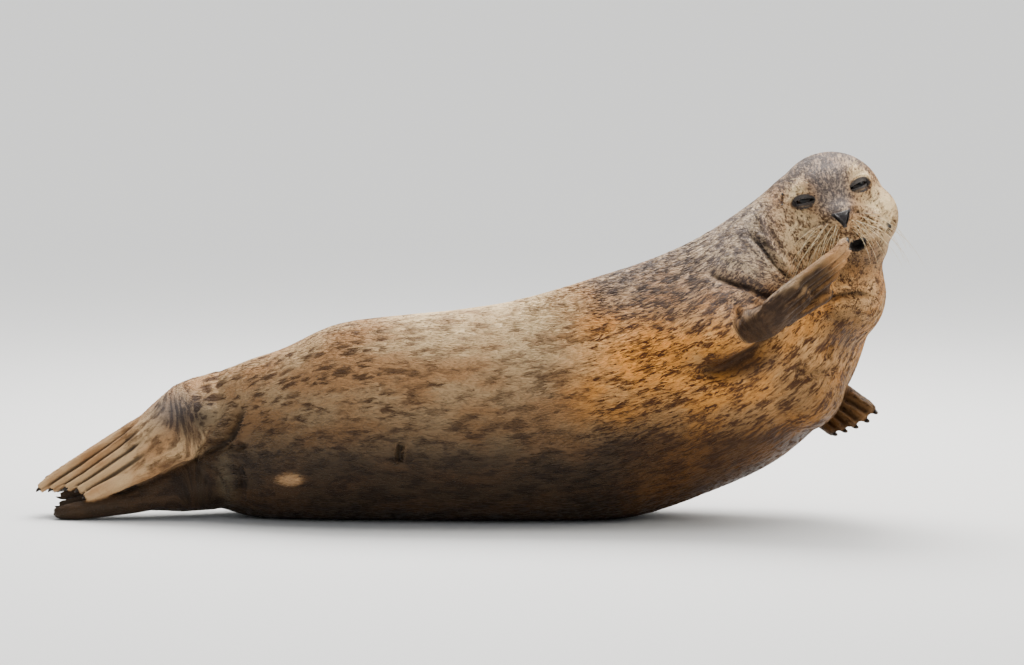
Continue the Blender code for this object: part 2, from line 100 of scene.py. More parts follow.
def add_piece(name, mesh, material):
    """A linked object that shows this mesh in this material."""
    mesh.materials.clear()
    mesh.materials.append(material)
    piece = bpy.data.objects.new(name, mesh)
    scene.collection.objects.link(piece)
    return piece


floor_form = bmesh.new()
bmesh.ops.create_circle(floor_form, cap_ends=True, segments=FLOOR_SIDES, radius=FLOOR_RADIUS)
floor_mesh = bpy.data.meshes.new("floor")
floor_form.to_mesh(floor_mesh)
floor_form.free()
floor_finish, _ = plain_material("floor_finish", FLOOR_COLOUR, 0.85)
floor = add_piece("floor", floor_mesh, floor_finish)
print("the floor is", 2 * FLOOR_RADIUS, "m wide")

# %% [markdown]
# ## Sky and lamps
#
# A very wide sun stands in for an overcast sky, and three broad lamps model the form. The sheen on damp fur
# comes from the one above and behind. The sky lights the seal a little, and the camera sees it brighter
# than that, as a plain backdrop.

# %% Light the sky
SKY_COLOUR = (0.90, 0.94, 0.98)
SKY_LIGHT, SKY_SEEN = 0.45, 1.42  # the sky's strength as a light, and as a plain bright backdrop

sky = bpy.data.worlds.new("sky")
sky.use_nodes = True
sky.node_tree.nodes["Background"].inputs["Color"].default_value = (*SKY_COLOUR, 1.0)
sky_light = sky.node_tree.nodes["Background"].inputs["Strength"]
seen = sky.node_tree.nodes.new("ShaderNodeLightPath").outputs["Is Camera Ray"]
strength = sky.node_tree.nodes.new("ShaderNodeMapRange")
strength.inputs["To Min"].default_value = SKY_LIGHT
strength.inputs["To Max"].default_value = SKY_SEEN
sky.node_tree.links.new(seen, strength.inputs["Value"])
sky.node_tree.links.new(strength.outputs["Result"], sky_light)
scene.world = sky
print("the sky's strength is", SKY_LIGHT, "as a light and", SKY_SEEN, "to the eye")

# %% Hang the lamps
SKY_SPREAD = math.radians(70.0)  # how wide the bright part of the overcast is
OVERCAST = ((0.9, 1.1, 3.6), 3.7, (1.0, 0.985, 0.96))  # where it shines from, strength and colour
LAMPS = (
    # name, width, place, power, colour
    ("top_lamp", 1.8, (0.15, 1.4, 2.6), 165.0, (1.0, 0.98, 0.95)),
    ("side_lamp", 1.6, (3.2, -0.6, 1.9), 45.0, (1.0, 0.93, 0.82)),
    ("front_lamp", 2.4, (-1.0, -3.6, 2.6), 18.0, (0.95, 0.97, 1.0)),
)


def hang_lamp(lamp, place, power, colour):
    """Puts a lamp in its place, facing the middle of the seal."""
    lamp.energy = power
    lamp.color = colour
    stand = bpy.data.objects.new(lamp.name, lamp)
    stand.location = place
    stand.rotation_euler = (Vector(place) - AIM).to_track_quat("Z", "Y").to_euler()
    scene.collection.objects.link(stand)


overcast = bpy.data.lights.new("overcast", "SUN")
overcast.angle = SKY_SPREAD
hang_lamp(overcast, *OVERCAST)
for name, width, *rest in LAMPS:
    lamp = bpy.data.lights.new(name, "AREA")
    lamp.size = width
    hang_lamp(lamp, *rest)
print("hung a wide sun and", len(LAMPS), "lamps")

# %% [markdown]
# ## The head's own frame
#
# Lids, lips, nose and whiskers sit symmetrically on the head, but the head is rolled and turned. So they are
# placed in the head's own directions, and the two eyes of the frame say where the head is.

# %% Find the head
HEAD_ROLL = 16.0  # degrees that the crown leans towards the tail
HEAD_YAW = 3.8  # degrees that the nose turns towards the head's end of the body
HEAD_DROP = 4.0  # degrees that the nose points down
EYE_PLACE = (0.0455, 0.0640, 0.0320)  # of the left eye on the head: sideways, forward, up

head_turn = (Matrix.Rotation(math.radians(-HEAD_ROLL), 3, "Y")
             @ Matrix.Rotation(math.radians(HEAD_YAW), 3, "Z")
             @ Matrix.Rotation(math.radians(HEAD_DROP), 3, "X"))
SIDE = head_turn @ Vector((1, 0, 0))
AHEAD = head_turn @ Vector((0, -1, 0))
RISE = head_turn @ Vector((0, 0, 1))


def middle_of(node):
    low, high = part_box(node)
    return (low + high) / 2


eye_low, eye_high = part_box("eye_left")
EYE_RADIUS = (eye_high - eye_low).x / 2
between_eyes = (middle_of("eye_left") + middle_of("eye_right")) / 2
HEAD = between_eyes - AHEAD * EYE_PLACE[1] - RISE * EYE_PLACE[2]
head_axes = np.array([SIDE, AHEAD, RISE])


def on_head(sideways, forward, up):
    return HEAD + SIDE * sideways + AHEAD * forward + RISE * up


def to_head(points):
    """Points as sideways, forward and up on the head."""
    return (points - np.array(HEAD)) @ head_axes.T


print("the head's centre is at", [round(value, 4) for value in HEAD])

# %% [markdown]
# ## Curves and simple forms
#
# Digits, folds, claws and whiskers all begin as a smooth curve through a few chosen points. A tube round such
# a curve is a row of rings, joined by four-sided faces and closed by a fan at each end. Both are worked out
# as arrays, which is far quicker than mesh operators when there are many of them.

# %% Smooth curves
def curve_through(rows, steps):
    """Catmull-Rom samples through every row, with this many steps to a span."""
    rows = np.asarray(rows, float)
    padded = np.vstack([2 * rows[0] - rows[1], rows, 2 * rows[-1] - rows[-2]])
    spans = zip(padded, padded[1:], padded[2:], padded[3:])
    t = np.arange(steps)[:, None] / steps
    samples = [0.5 * (2 * start + (end - before) * t + (2 * before - 5 * start + 4 * end - after) * t ** 2
                      + (3 * start - before - 3 * end + after) * t ** 3)
               for before, start, end, after in spans]
    return np.vstack(samples + [rows[-1:]])


def unit(vectors):
    length = np.linalg.norm(vectors, axis=-1, keepdims=True)
    return vectors / np.maximum(length, 1e-9)


print("a curve through 3 points, 6 steps to a span, has", len(curve_through(np.eye(3), 6)), "samples")

# %% Rings, tubes and balls
def points_of(mesh):
    points = np.empty(len(mesh.vertices) * 3, np.float32)
    mesh.vertices.foreach_get("co", points)
    return points.reshape(-1, 3).astype(float)


def ring_turns(sides):
    """The angles of evenly spaced points on a ring."""
    return np.linspace(0, 2 * math.pi, sides, endpoint=False)


def ring_faces(rings, sides):
    """The quads between rings of points, and the fans that close both ends on two more points."""
    i, j = np.meshgrid(np.arange(rings - 1) * sides, np.arange(sides), indexing="ij")
    k = (j + 1) % sides
    quads = np.stack([i + j, i + k, i + sides + k, i + sides + j], -1).reshape(-1, 4)
    fan = np.arange(sides)
    after = (fan + 1) % sides
    last_ring = (rings - 1) * sides
    first = np.stack([after, fan, np.full(sides, rings * sides)], -1)
    last = np.stack([last_ring + fan, last_ring + after, np.full(sides, rings * sides + 1)], -1)
    return quads, np.vstack([first, last])


def tube_arrays(path, radii, sides, flat=1.0, wide_way=(0.3, 0.5, 0.8)):
    """Points and faces of a closed tube along a path. flat is its height over its width."""
    path = np.asarray(path, float)
    along = unit(np.gradient(path, axis=0))
    side = unit(np.cross(along, np.cross(np.array(wide_way), along)))
    rise = np.cross(along, side)
    turns = ring_turns(sides)[None, :, None]
    ring = np.cos(turns) * side[:, None] + np.sin(turns) * rise[:, None] * flat
    points = (path[:, None] + ring * np.asarray(radii, float)[:, None, None]).reshape(-1, 3)
    return (np.vstack([points, path[:1], path[-1:]]), *ring_faces(len(path), sides))


def ball_into(form, centre, sizes):
    """Adds an ellipsoid, with its axes along the head's, to a bmesh."""
    axes = Matrix([SIDE * sizes[0], AHEAD * sizes[1], RISE * sizes[2]]).transposed()
    place = Matrix.Translation(centre) @ axes.to_4x4()
    bmesh.ops.create_uvsphere(form, u_segments=48, v_segments=32, radius=1.0, matrix=place)


def mesh_from(name, points, faces, smooth=True):
    """A mesh from an array of points and one or more arrays of faces."""
    mesh = bpy.data.meshes.new(name)
    blocks = faces if isinstance(faces, list) else [faces]
    mesh.vertices.add(len(points))
    mesh.vertices.foreach_set("co", np.asarray(points, np.float32).ravel())
    corners = np.concatenate([block.ravel() for block in blocks])
    sizes = np.concatenate([np.full(len(block), block.shape[1]) for block in blocks])
    starts = np.concatenate([[0], np.cumsum(sizes)[:-1]])
    mesh.loops.add(len(corners))
    mesh.loops.foreach_set("vertex_index", corners.astype(np.int32))
    mesh.polygons.add(len(sizes))
    mesh.polygons.foreach_set("loop_start", starts.astype(np.int32))
    mesh.polygons.foreach_set("use_smooth", np.full(len(sizes), smooth))
    mesh.update(calc_edges=True)
    return mesh


print("a tube with 3 rings of 6 sides has", len(tube_arrays(np.eye(3), np.ones(3), 6)[0]), "points")

# %% [markdown]
# ## Where the flippers lie
#
# A seal's arms and legs are inside its body almost to the wrist and the ankle. So everything on a flipper is
# placed from there: the way its digits run, the way they spread, and the side of its palm. The frame's claws
# say where the digits end.

# %% Find the flippers
FLESH = ("rump", "belly", "chest", "neck", "head", "tail",
         "fore_flipper_right", "fore_flipper_left", "hind_flipper_right", "hind_flipper_left")

# Each flipper: its wrist, the way its digits run, the way they spread, and the half width of the wrist.
WRISTS = {
    "fore_flipper_right": ((0.549, -0.188, 0.389), (0.70, 0.00, 0.71), (0.50, 0.50, -0.70), 0.027),
    "fore_flipper_left": ((0.651, 0.057, 0.203), (0.60, -0.62, -0.42), (-0.80, -0.10, -0.60), 0.034),
    "hind_flipper_right": ((-0.551, 0.013, 0.144), (-0.89, 0.00, -0.456), (-0.33, 0.74, 0.60), 0.053),
    "hind_flipper_left": ((-0.551, 0.029, 0.070), (-0.98, 0.00, -0.18), (-0.12, 0.84, 0.53), 0.053),
}
DIGITS = 5


class Flipper:
    """Where a flipper's wrist is, which way it lies, and where each digit starts and ends."""

    def __init__(self, name):
        wrist, along, across, half = WRISTS[name]
        self.name = name
        self.wrist = np.array(wrist)
        self.along = unit(np.array(along))
        across = np.array(across)
        self.across = unit(across - self.along * (across @ self.along))
        hand = 1 if name.endswith("right") else -1
        self.palm = np.cross(self.along, self.across) * hand
        self.claws = [name.replace("flipper", "claw") + f"_{number}" for number in range(1, DIGITS + 1)]
        spread = np.linspace(-half, half, DIGITS)
        self.starts = [self.wrist + self.across * offset for offset in spread]
        self.claw_lines = [self.claw_line(points_of(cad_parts[claw].data)) for claw in self.claws]

    def claw_line(self, points):
        """The two ends of a claw: where it leaves the digit, and its tip."""
        order = np.argsort(points @ self.along)
        return points[order[:5]].mean(axis=0), points[order[-1:]].mean(axis=0)

    def digit_path(self, number, samples=12):
        """The bent line of one digit from the wrist to its claw."""
        start = self.starts[number]
        end = self.claw_lines[number][0] + self.palm * 0.003
        share = np.linspace(0, 1, samples)[:, None]
        reach = self.along * ((end - start) @ self.along)
        middle = start + reach * 0.55 + (end - start - reach) * 0.40
        return start * (1 - share) ** 2 + middle * 2 * share * (1 - share) + end * share ** 2

    def local(self, points):
        """Points as along, across and palmward from the wrist."""
        return (points - self.wrist) @ np.array([self.along, self.across, self.palm]).T


flippers = [Flipper(name) for name in WRISTS]
for flipper in flippers:
    longest = max(np.linalg.norm(base - flipper.wrist) for base, tip in flipper.claw_lines)
    print(flipper.name, "reaches", round(float(longest), 3), "from its wrist")

# %% [markdown]
# ## One skin
#
# The frame holds the flesh as parted solids. A living seal has no seams, so the solids are swollen until they
# overlap and then remeshed as one. The rounded forms of the face are added again before that, because they
# close the slots of the eyes and the mouth, which are sculpted afresh. Each digit gets a tube for the same
# reason: a voxel mesh keeps what is there when it is made.

# %% The forms that close the face and sharpen the digits
FACE_MIDDLE = (
    # forward, up, half width, half length, half height
    (0.000, 0.000, 0.098, 0.100, 0.096),     # cranium
    (0.046, 0.036, 0.064, 0.052, 0.046),     # forehead
    (0.086, -0.005, 0.037, 0.060, 0.032),    # bridge of the nose
    (0.078, -0.034, 0.071, 0.062, 0.037),    # upper jaw
    (0.134, -0.010, 0.019, 0.018, 0.016),    # nose pad
    (0.070, -0.076, 0.060, 0.056, 0.033),    # lower jaw and chin
    (0.036, -0.085, 0.080, 0.070, 0.052),    # throat under the jaw
)
FACE_PAIRED = (
    # sideways, forward, up, half width, half length, half height
    (0.056, 0.020, -0.036, 0.058, 0.066, 0.060),     # cheek
    (0.042, 0.052, 0.052, 0.028, 0.028, 0.016),      # brow
    (0.034, 0.104, -0.029, 0.036, 0.036, 0.026),     # whisker pad
    (0.048, 0.058, 0.030, 0.030, 0.028, 0.026),      # flesh around the eye
)
SWELL = 0.0007  # how far each solid grows, so that the parted stretches overlap
DIGIT_ROUND = {"fore": (0.0095, 0.0075), "hind": (0.0115, 0.0085)}     # a digit's radii at wrist and claw
DIGIT_SIDES = 12


def flesh_form():
    """All flesh solids, a little swollen, with the face's and digits' forms, in one bmesh."""
    form = bmesh.new()
    for node in FLESH:
        solid = bmesh.new()
        solid.from_mesh(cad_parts[node].data)
        bmesh.ops.remove_doubles(solid, verts=solid.verts, dist=1e-5)
        solid.normal_update()
        for vertex in solid.verts:
            vertex.co += vertex.normal * SWELL
        grown = bpy.data.meshes.new("grown")
        solid.to_mesh(grown)
        solid.free()
        form.from_mesh(grown)
        bpy.data.meshes.remove(grown)
    for forward, up, *sizes in FACE_MIDDLE:
        ball_into(form, on_head(0, forward, up), sizes)
    for sideways, forward, up, *sizes in FACE_PAIRED:
        for hand in (-1, 1):
            ball_into(form, on_head(hand * sideways, forward, up), sizes)
    for flipper in flippers:
        thick, thin = DIGIT_ROUND[flipper.name[:4]]
        for number in range(DIGITS):
            path = flipper.digit_path(number)
            radii = np.linspace(thick, thin, len(path))
            points, quads, ends = tube_arrays(path, radii, DIGIT_SIDES, wide_way=flipper.across)
            tube = mesh_from("digit", points, [quads, ends])
            form.from_mesh(tube)
            bpy.data.meshes.remove(tube)
    return form


print("the face is closed by", len(FACE_MIDDLE) + 2 * len(FACE_PAIRED), "rounded forms")

# %% [markdown]
# ## Fusing the flesh
#
# The Remesh modifier's voxel mode wraps everything in one even net of small faces, and drops what is inside.
# The finer its grain, the sharper the digits, and the longer every later step takes.

# %% Fuse the flesh
FULL_GRAIN, QUICK_GRAIN = 0.0026, 0.0036  # the remesh's voxel
SKIN_GRAIN = FULL_GRAIN

blank_mesh = bpy.data.meshes.new("flesh")
blank_form = flesh_form()
blank_form.to_mesh(blank_mesh)
blank_form.free()
blank = bpy.data.objects.new("flesh", blank_mesh)
scene.collection.objects.link(blank)
fuse = blank.modifiers.new("Fuse", "REMESH")
fuse.mode = "VOXEL"
fuse.voxel_size = SKIN_GRAIN
graph = bpy.context.evaluated_depsgraph_get()
graph.update()
skin_mesh = bpy.data.meshes.new_from_object(blank.evaluated_get(graph), depsgraph=graph)
bpy.data.objects.remove(blank)
print("the fused skin has", len(skin_mesh.vertices), "points")

# %% [markdown]
# ## A finer grain where it is looked at
#
# Lids, nostrils and lips are a few millimetres wide, finer than the grain of the body. Splitting the faces
# there, twice round the eyes and the nose, gives the sculpting something to bite on without making the
# flanks heavy.

# %% Split the faces round the eyes, the nose and the mouth
FINE_PLACES = (
    # sideways, forward, up, radius: one split inside each
    ((0.052, 0.078, 0.032, 0.038), (-0.052, 0.078, 0.032, 0.038), (0.0, 0.118, -0.026, 0.068),
     (0.066, 0.075, -0.035, 0.040), (-0.066, 0.075, -0.035, 0.040), (-0.084, 0.048, 0.042, 0.020),
     (0.084, 0.048, 0.042, 0.020), (-0.134, 0.096, -0.024, 0.055)),
    ((0.053, 0.082, 0.032, 0.029), (-0.053, 0.082, 0.032, 0.029), (0.0, 0.146, -0.008, 0.028)),
)


def split_faces(mesh, places):
    form = bmesh.new()
    form.from_mesh(mesh)
    centres = np.array([face.calc_center_median() for face in form.faces])
    local = to_head(centres)
    inside = np.zeros(len(local), bool)
    for sideways, forward, up, radius in places:
        inside |= np.linalg.norm(local - (sideways, forward, up), axis=1) < radius
    form.faces.ensure_lookup_table()
    edges = {edge for index in np.flatnonzero(inside) for edge in form.faces[index].edges}
    bmesh.ops.subdivide_edges(form, edges=list(edges), cuts=1, use_grid_fill=True)
    bmesh.ops.triangulate(form, faces=[face for face in form.faces if len(face.verts) > 4])
    form.to_mesh(mesh)
    form.free()


for places in FINE_PLACES:
    split_faces(skin_mesh, places)
print("with the finer face it has", len(skin_mesh.vertices), "points")

# %% [markdown]
# ## Smoothing by region
#
# A voxel mesh has steps, and the frame's solids have flat facets. Moving each point towards the mean of its
# neighbours, again and again, melts both. The broad trunk takes many rounds. The face takes a few, and the
# digits fewer, or they would shrink away.

# %% Neighbours, nearest nodes and soft steps
def edges_of(mesh):
    edges = np.empty(len(mesh.edges) * 2, np.int32)
    mesh.edges.foreach_get("vertices", edges)
    return edges.reshape(-1, 2)


def soften(values, edges, rounds, weight):
    """Moves each row of values towards the mean of its neighbours' rows."""
    values = values.copy()
    a, b = edges.T
    count = len(values)
    neighbours = np.maximum(np.bincount(a, minlength=count) + np.bincount(b, minlength=count), 1)
    weight = np.broadcast_to(weight, count)
    for _ in range(rounds):
        for k in range(values.shape[1]):
            column = values[:, k]
            total = np.bincount(a, column[b], count) + np.bincount(b, column[a], count)
            values[:, k] = column + weight * (total / neighbours - column)
    return values


def nearest_node_tree(nodes):
    """A search tree over these CAD nodes, and the number of the node that each of its faces belongs to."""
    form = bmesh.new()
    owners = []
    for number, node in enumerate(nodes):
        before = len(form.faces)
        form.from_mesh(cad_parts[node].data)
        owners += [number] * (len(form.faces) - before)
    tree = BVHTree.FromBMesh(form)
    form.free()
    return tree, np.array(owners)


def ramp(values, low, high):
    """A smooth step from 0 at low to 1 at high."""
    t = np.clip((values - low) / (high - low), 0, 1)
    return t * t * (3 - 2 * t)


print("a quarter of the way up, a soft step is at", round(float(ramp(0.25, 0, 1)), 3))

# %% Smooth the skin
FACE_CENTRE = (0.0, 0.045, -0.015)  # sideways, forward and up on the head
FACE_EDGE = (0.110, 0.150)  # how far from there the face starts to fade, and where it ends
ALL_ROUNDS, FACE_ROUNDS, BODY_ROUNDS = 3, 14, 90  # of smoothing: everywhere, then by region

skin = points_of(skin_mesh)
skin_edges = edges_of(skin_mesh)
flesh_tree, flesh_owner = nearest_node_tree(FLESH)
owner = flesh_owner[[flesh_tree.find_nearest(Vector(point))[2] for point in skin]]
on_flipper = np.isin(owner, [FLESH.index(flipper.name) for flipper in flippers]).astype(float)
limb = soften(on_flipper[:, None], skin_edges, 12, 0.5)[:, 0]
from_face = np.linalg.norm(to_head(skin) - FACE_CENTRE, axis=1)
face = 1 - ramp(from_face, *FACE_EDGE)
body = (1 - face) * (1 - ramp(limb, 0.02, 0.5))

grain_rounds = (FULL_GRAIN / SKIN_GRAIN) ** 2
skin = soften(skin, skin_edges, ALL_ROUNDS, 0.5)
skin = soften(skin, skin_edges, int(FACE_ROUNDS * grain_rounds), 0.5 * np.maximum(body, face))
skin = soften(skin, skin_edges, int(BODY_ROUNDS * grain_rounds), 0.5 * body)
print("smoothed; the face holds", int((face > 0.5).sum()), "points and the flippers", int((limb > 0.5).sum()))

# %% [markdown]
# ## Sculpting by paths
#
# A fold in blubber is a line along which the skin sinks between two soft rolls. So each one is a short path,
# laid on the skin, with a depth and a width. Points near it move along the skin's own normal: down in the
# middle of the path, and a little up on either side. A negative depth makes a roll. Every hollow is also
# remembered, and the coat's colour paints shade into it later.

# %% Find points on the trunk and the head
body_tree, _ = nearest_node_tree(("rump", "belly", "chest", "neck", "head"))


def normals_now():
    skin_mesh.vertices.foreach_set("co", skin.astype(np.float32).ravel())
    skin_mesh.update()
    normals = np.empty(len(skin) * 3, np.float32)
    skin_mesh.vertex_normals.foreach_get("vector", normals)
    return normals.reshape(-1, 3).astype(float)


def dropped(x, z, side):
    """The point of the trunk that faces this side at x and z, or the nearest to it beyond the outline."""
    hit = body_tree.ray_cast(Vector((x, side, z)), Vector((0, -side, 0)))[0]
    return np.array(hit or body_tree.find_nearest(Vector((x, 0.05 * side, z)))[0])


def on_flank(x, z):
    """The point of the belly side at this x and z."""
    return dropped(x, z, -1.0)


def on_back(x, z):
    """The point of the back at this x and z."""
    return dropped(x, z, 1.0)


def over_top(x, z):
    """The point of the trunk nearest to the middle line of the back."""
    return np.array(body_tree.find_nearest(Vector((x, 0.03, z)))[0])


def face_point(sideways, forward, up):
    """The point of the skin nearest a place on the head."""
    return np.array(face_tree.find_nearest(on_head(sideways, forward, up))[0])


def front_point(sideways, up):
    """The point of the skin straight ahead of a place on the head."""
    return np.array(face_tree.ray_cast(on_head(sideways, 0.30, up), -AHEAD)[0])


# "crease" marks the hollows into which the coat paints shade
marks = {name: np.zeros(len(skin)) for name in ("crease", "bare", "freckle", "thin")}
normals = normals_now()
face_tree = BVHTree.FromPolygons(skin.tolist(), [list(polygon.vertices) for polygon in skin_mesh.polygons])
print("a quarter of a metre up, the flank's middle is at y", round(float(on_flank(0.0, 0.25)[1]), 3))

# %% Press a path into the skin
PATH_STEPS = 6  # samples for each span of a path
RIB_HEIGHT = 0.75  # of the small wrinkles on a roll, as a share of the roll


def bell(offset, spread):
    """1 where the offset is 0, falling off softly over the spread."""
    return np.exp(-(offset / spread) ** 2)


def mark(name, strength, near=slice(None)):
    """Keeps the stronger of a new mark on the skin and what is there."""
    marks[name][near] = np.maximum(marks[name][near], strength)


def distance_to_path(points, path):
    """Each point's distance from a path, and how far along the path that is, from 0 to 1."""
    best = np.full(len(points), np.inf)
    where = np.zeros(len(points))
    spans = np.linalg.norm(np.diff(path, axis=0), axis=1)
    ends = np.concatenate([[0], np.cumsum(spans)])
    for start, end, before, span in zip(path, path[1:], ends, spans):
        way = end - start
        t = np.clip(((points - start) @ way) / max(way @ way, 1e-12), 0, 1)
        distance = np.linalg.norm(points - start - t[:, None] * way, axis=1)
        closer = distance < best
        best[closer] = distance[closer]
        where[closer] = (before + t[closer] * span) / ends[-1]
    return best, where


def press(path, depth, width, lip=0.25, run_out=0.2, ribs=0.0, full_dark=0.010):
    """Sinks the skin along a path, with soft lips. At a depth of full_dark the painted shade in the hollow is
    darkest.
    """
    path = curve_through(path, PATH_STEPS)
    margin = 4 * width
    low, high = path.min(axis=0) - margin, path.max(axis=0) + margin
    near = np.flatnonzero(((skin > low) & (skin < high)).all(axis=1))
    distance, where = distance_to_path(skin[near], path)
    fade = ramp(np.minimum(where, 1 - where), 0, run_out)
    shape = lip * bell(distance - 2.1 * width, width) - bell(distance, width)
    if ribs:
        length = np.linalg.norm(np.diff(path, axis=0), axis=1).sum()
        rib = np.sin(2 * math.pi * where * length / ribs)
        shape = shape * (1 + RIB_HEIGHT * rib)
        ribbed = bell(distance, 1.3 * width) * fade
        # painted shade between the small wrinkles of a roll
        mark("crease", 0.7 * ribbed * ramp(-rib, 0.0, 0.9), near)
        mark("thin", ribbed, near)
    skin[near] += normals[near] * (depth * fade * shape)[:, None]
    # painted shade in the hollow, darker for a deeper fold
    if depth > 0:
        mark("crease", bell(distance, 0.55 * width) * fade * min(1.0, depth / full_dark), near)


print("the skin keeps the marks", sorted(marks))

# %% [markdown]
# ## The folds of the neck, the shoulder and the hips
#
# A resting seal that turns its head squeezes the blubber of its neck into rolls, and a lifted flipper pulls
# a fold out of the shoulder and opens a deep hollow behind its root. Paths on the belly side are given by
# their x and z, and dropped on to the skin from the side that faces them. The far side gets the gentler
# rolls that such a turn leaves there.

# %% Press the folds
FLANK_FOLDS = (
    # depth, width, lip, path as (x, z)
    (-0.0070, 0.020, 0.00, ((0.455, 0.488), (0.510, 0.462), (0.562, 0.434))),            # neck roll
    (-0.0060, 0.017, 0.00, ((0.410, 0.432), (0.455, 0.420), (0.500, 0.405))),            # shoulder roll
    (-0.0050, 0.016, 0.00, ((0.560, 0.400), (0.600, 0.425), (0.655, 0.440), (0.715, 0.438))),    # chin roll
    (-0.0060, 0.022, 0.00, ((0.600, 0.345), (0.650, 0.350), (0.690, 0.372))),            # breast roll
    # The two folds of the neck, the folds of the shoulder, and the hollow behind the lifted flipper.
    (0.0090, 0.0060, 0.35, ((0.500, 0.528), (0.530, 0.500), (0.556, 0.467), (0.590, 0.437))),
    (0.0075, 0.0050, 0.30, ((0.517, 0.578), (0.518, 0.550), (0.528, 0.519), (0.543, 0.487), (0.572, 0.455))),
    (0.0100, 0.0080, 0.30, ((0.425, 0.458), (0.477, 0.441), (0.503, 0.433), (0.534, 0.420), (0.572, 0.418))),
    (0.0050, 0.0045, 0.40, ((0.486, 0.437), (0.508, 0.427), (0.530, 0.414))),
    (0.0200, 0.0150, 0.15, ((0.400, 0.290), (0.453, 0.287), (0.498, 0.309), (0.537, 0.335), (0.560, 0.366))),
    (0.0100, 0.0060, 0.30, ((0.483, 0.405), (0.486, 0.376), (0.496, 0.350))),            # flipper's root
    # The folds of the throat and the breast, and the crease of the cheek.
    (0.0085, 0.0060, 0.35, ((0.622, 0.400), (0.648, 0.412), (0.675, 0.418), (0.700, 0.419), (0.735, 0.412))),
    (0.0065, 0.0060, 0.30, ((0.633, 0.403), (0.650, 0.386), (0.671, 0.366), (0.684, 0.352))),
    (0.0050, 0.0040, 0.35, ((0.652, 0.327), (0.649, 0.313), (0.644, 0.300))),            # breast dimple
    (0.0060, 0.0075, 0.35, ((0.578, 0.292), (0.604, 0.280), (0.632, 0.281), (0.668, 0.287))),
    (0.0030, 0.0040, 0.30, ((0.536, 0.560), (0.540, 0.535), (0.552, 0.510), (0.568, 0.486))),
    # The hollow of the hip, its crease, and the roll behind it with a fold of its own.
    (0.0170, 0.0105, 0.25, ((-0.396, 0.226), (-0.412, 0.178), (-0.441, 0.141), (-0.492, 0.118))),
    (0.0100, 0.0055, 0.30, ((-0.462, 0.136), (-0.425, 0.139), (-0.385, 0.145))),
    (-0.0060, 0.0085, 0.00,
     ((-0.482, 0.117), (-0.452, 0.110), (-0.431, 0.085), (-0.419, 0.050), (-0.421, 0.020))),
    (0.0060, 0.0050, 0.25, ((-0.405, 0.112), (-0.397, 0.078), (-0.402, 0.040))),
    (0.0100, 0.0040, 0.55, ((-0.112, 0.160), (-0.114, 0.140), (-0.115, 0.120))),         # belly slit
)
BACK_FOLDS = (
    (0.0050, 0.0090, 0.45, ((0.500, 0.520), (0.545, 0.470), (0.560, 0.410))),
    (0.0045, 0.0080, 0.45, ((0.560, 0.560), (0.600, 0.500), (0.615, 0.440))),
    (0.0050, 0.0100, 0.40, ((0.470, 0.330), (0.520, 0.290), (0.560, 0.240))),
    (0.0060, 0.0100, 0.30, ((-0.405, 0.200), (-0.420, 0.150), (-0.420, 0.090))),
)
HIP_LINE = (
    # depth, width, x and height: a roll over the hips and a dip behind it, from one flank to the other
    (-0.0060, 0.026, -0.446, 0.262),
    (0.0065, 0.030, -0.512, 0.250),
)
HIP_SIDE = 0.055  # how far down the flanks they reach
NECK_RIBS = 0.0094  # from one small wrinkle of the neck's narrow roll to the next
NECK_ROLL = ((0.509, 0.556), (0.522, 0.514), (0.546, 0.480), (0.577, 0.447))

for dropped_on, folds in ((on_flank, FLANK_FOLDS), (on_back, BACK_FOLDS)):
    for depth, width, lip, path in folds:
        press([dropped_on(x, z) for x, z in path], depth, width, lip)
press([on_flank(x, z) for x, z in NECK_ROLL], -0.0032, 0.0060, 0.0, ribs=NECK_RIBS)
for depth, width, x, z in HIP_LINE:
    across_back = [on_flank(x, z - HIP_SIDE), over_top(x, z), on_back(x, z - HIP_SIDE)]
    press(across_back, depth, width, 0.0, run_out=0.35, full_dark=1.0)
print("pressed", len(FLANK_FOLDS) + len(BACK_FOLDS) + len(HIP_LINE) + 1, "folds and rolls")

# %% [markdown]
# ## Lids that lie on the eye
#
# The eyes are half shut in the light. Over each eyeball the skin is drawn back until it is a lid's thickness
# from the ball, inside an almond outline, and a curved slit in the middle of the almond sinks into the ball
# itself. The ball then shows through the slit, and the edge where skin meets ball is as crisp as a real lid.

# %% Draw the lids over the eyes
LID = 0.0017  # a lid's thickness
LID_DROP = 0.0025  # how far the lids' middle is below the ball's
ALMOND = (0.0255, 0.0150)  # half width and half height of the lids together
SLIT = (0.0185, 0.0036)  # half width and half height of the opening
EYE_TILT = math.radians(4.0)  # how far the outer corner is above the inner one


def eye_frame(hand):
    """The eye's centre, and its outward, upward and gazing directions."""
    centre = np.array(on_head(hand * EYE_PLACE[0], EYE_PLACE[1], EYE_PLACE[2]))
    gaze = unit(np.array(AHEAD + SIDE * hand * 0.55 + RISE * 0.12))
    outward = np.array(SIDE) * hand
    outward = unit(outward - gaze * (outward @ gaze))
    upward = np.array(RISE)
    upward = unit(upward - gaze * (upward @ gaze) - outward * (upward @ outward))
    tilted = outward * math.cos(EYE_TILT) + upward * math.sin(EYE_TILT)
    upright = upward * math.cos(EYE_TILT) - outward * math.sin(EYE_TILT)
    return centre, tilted, upright, gaze


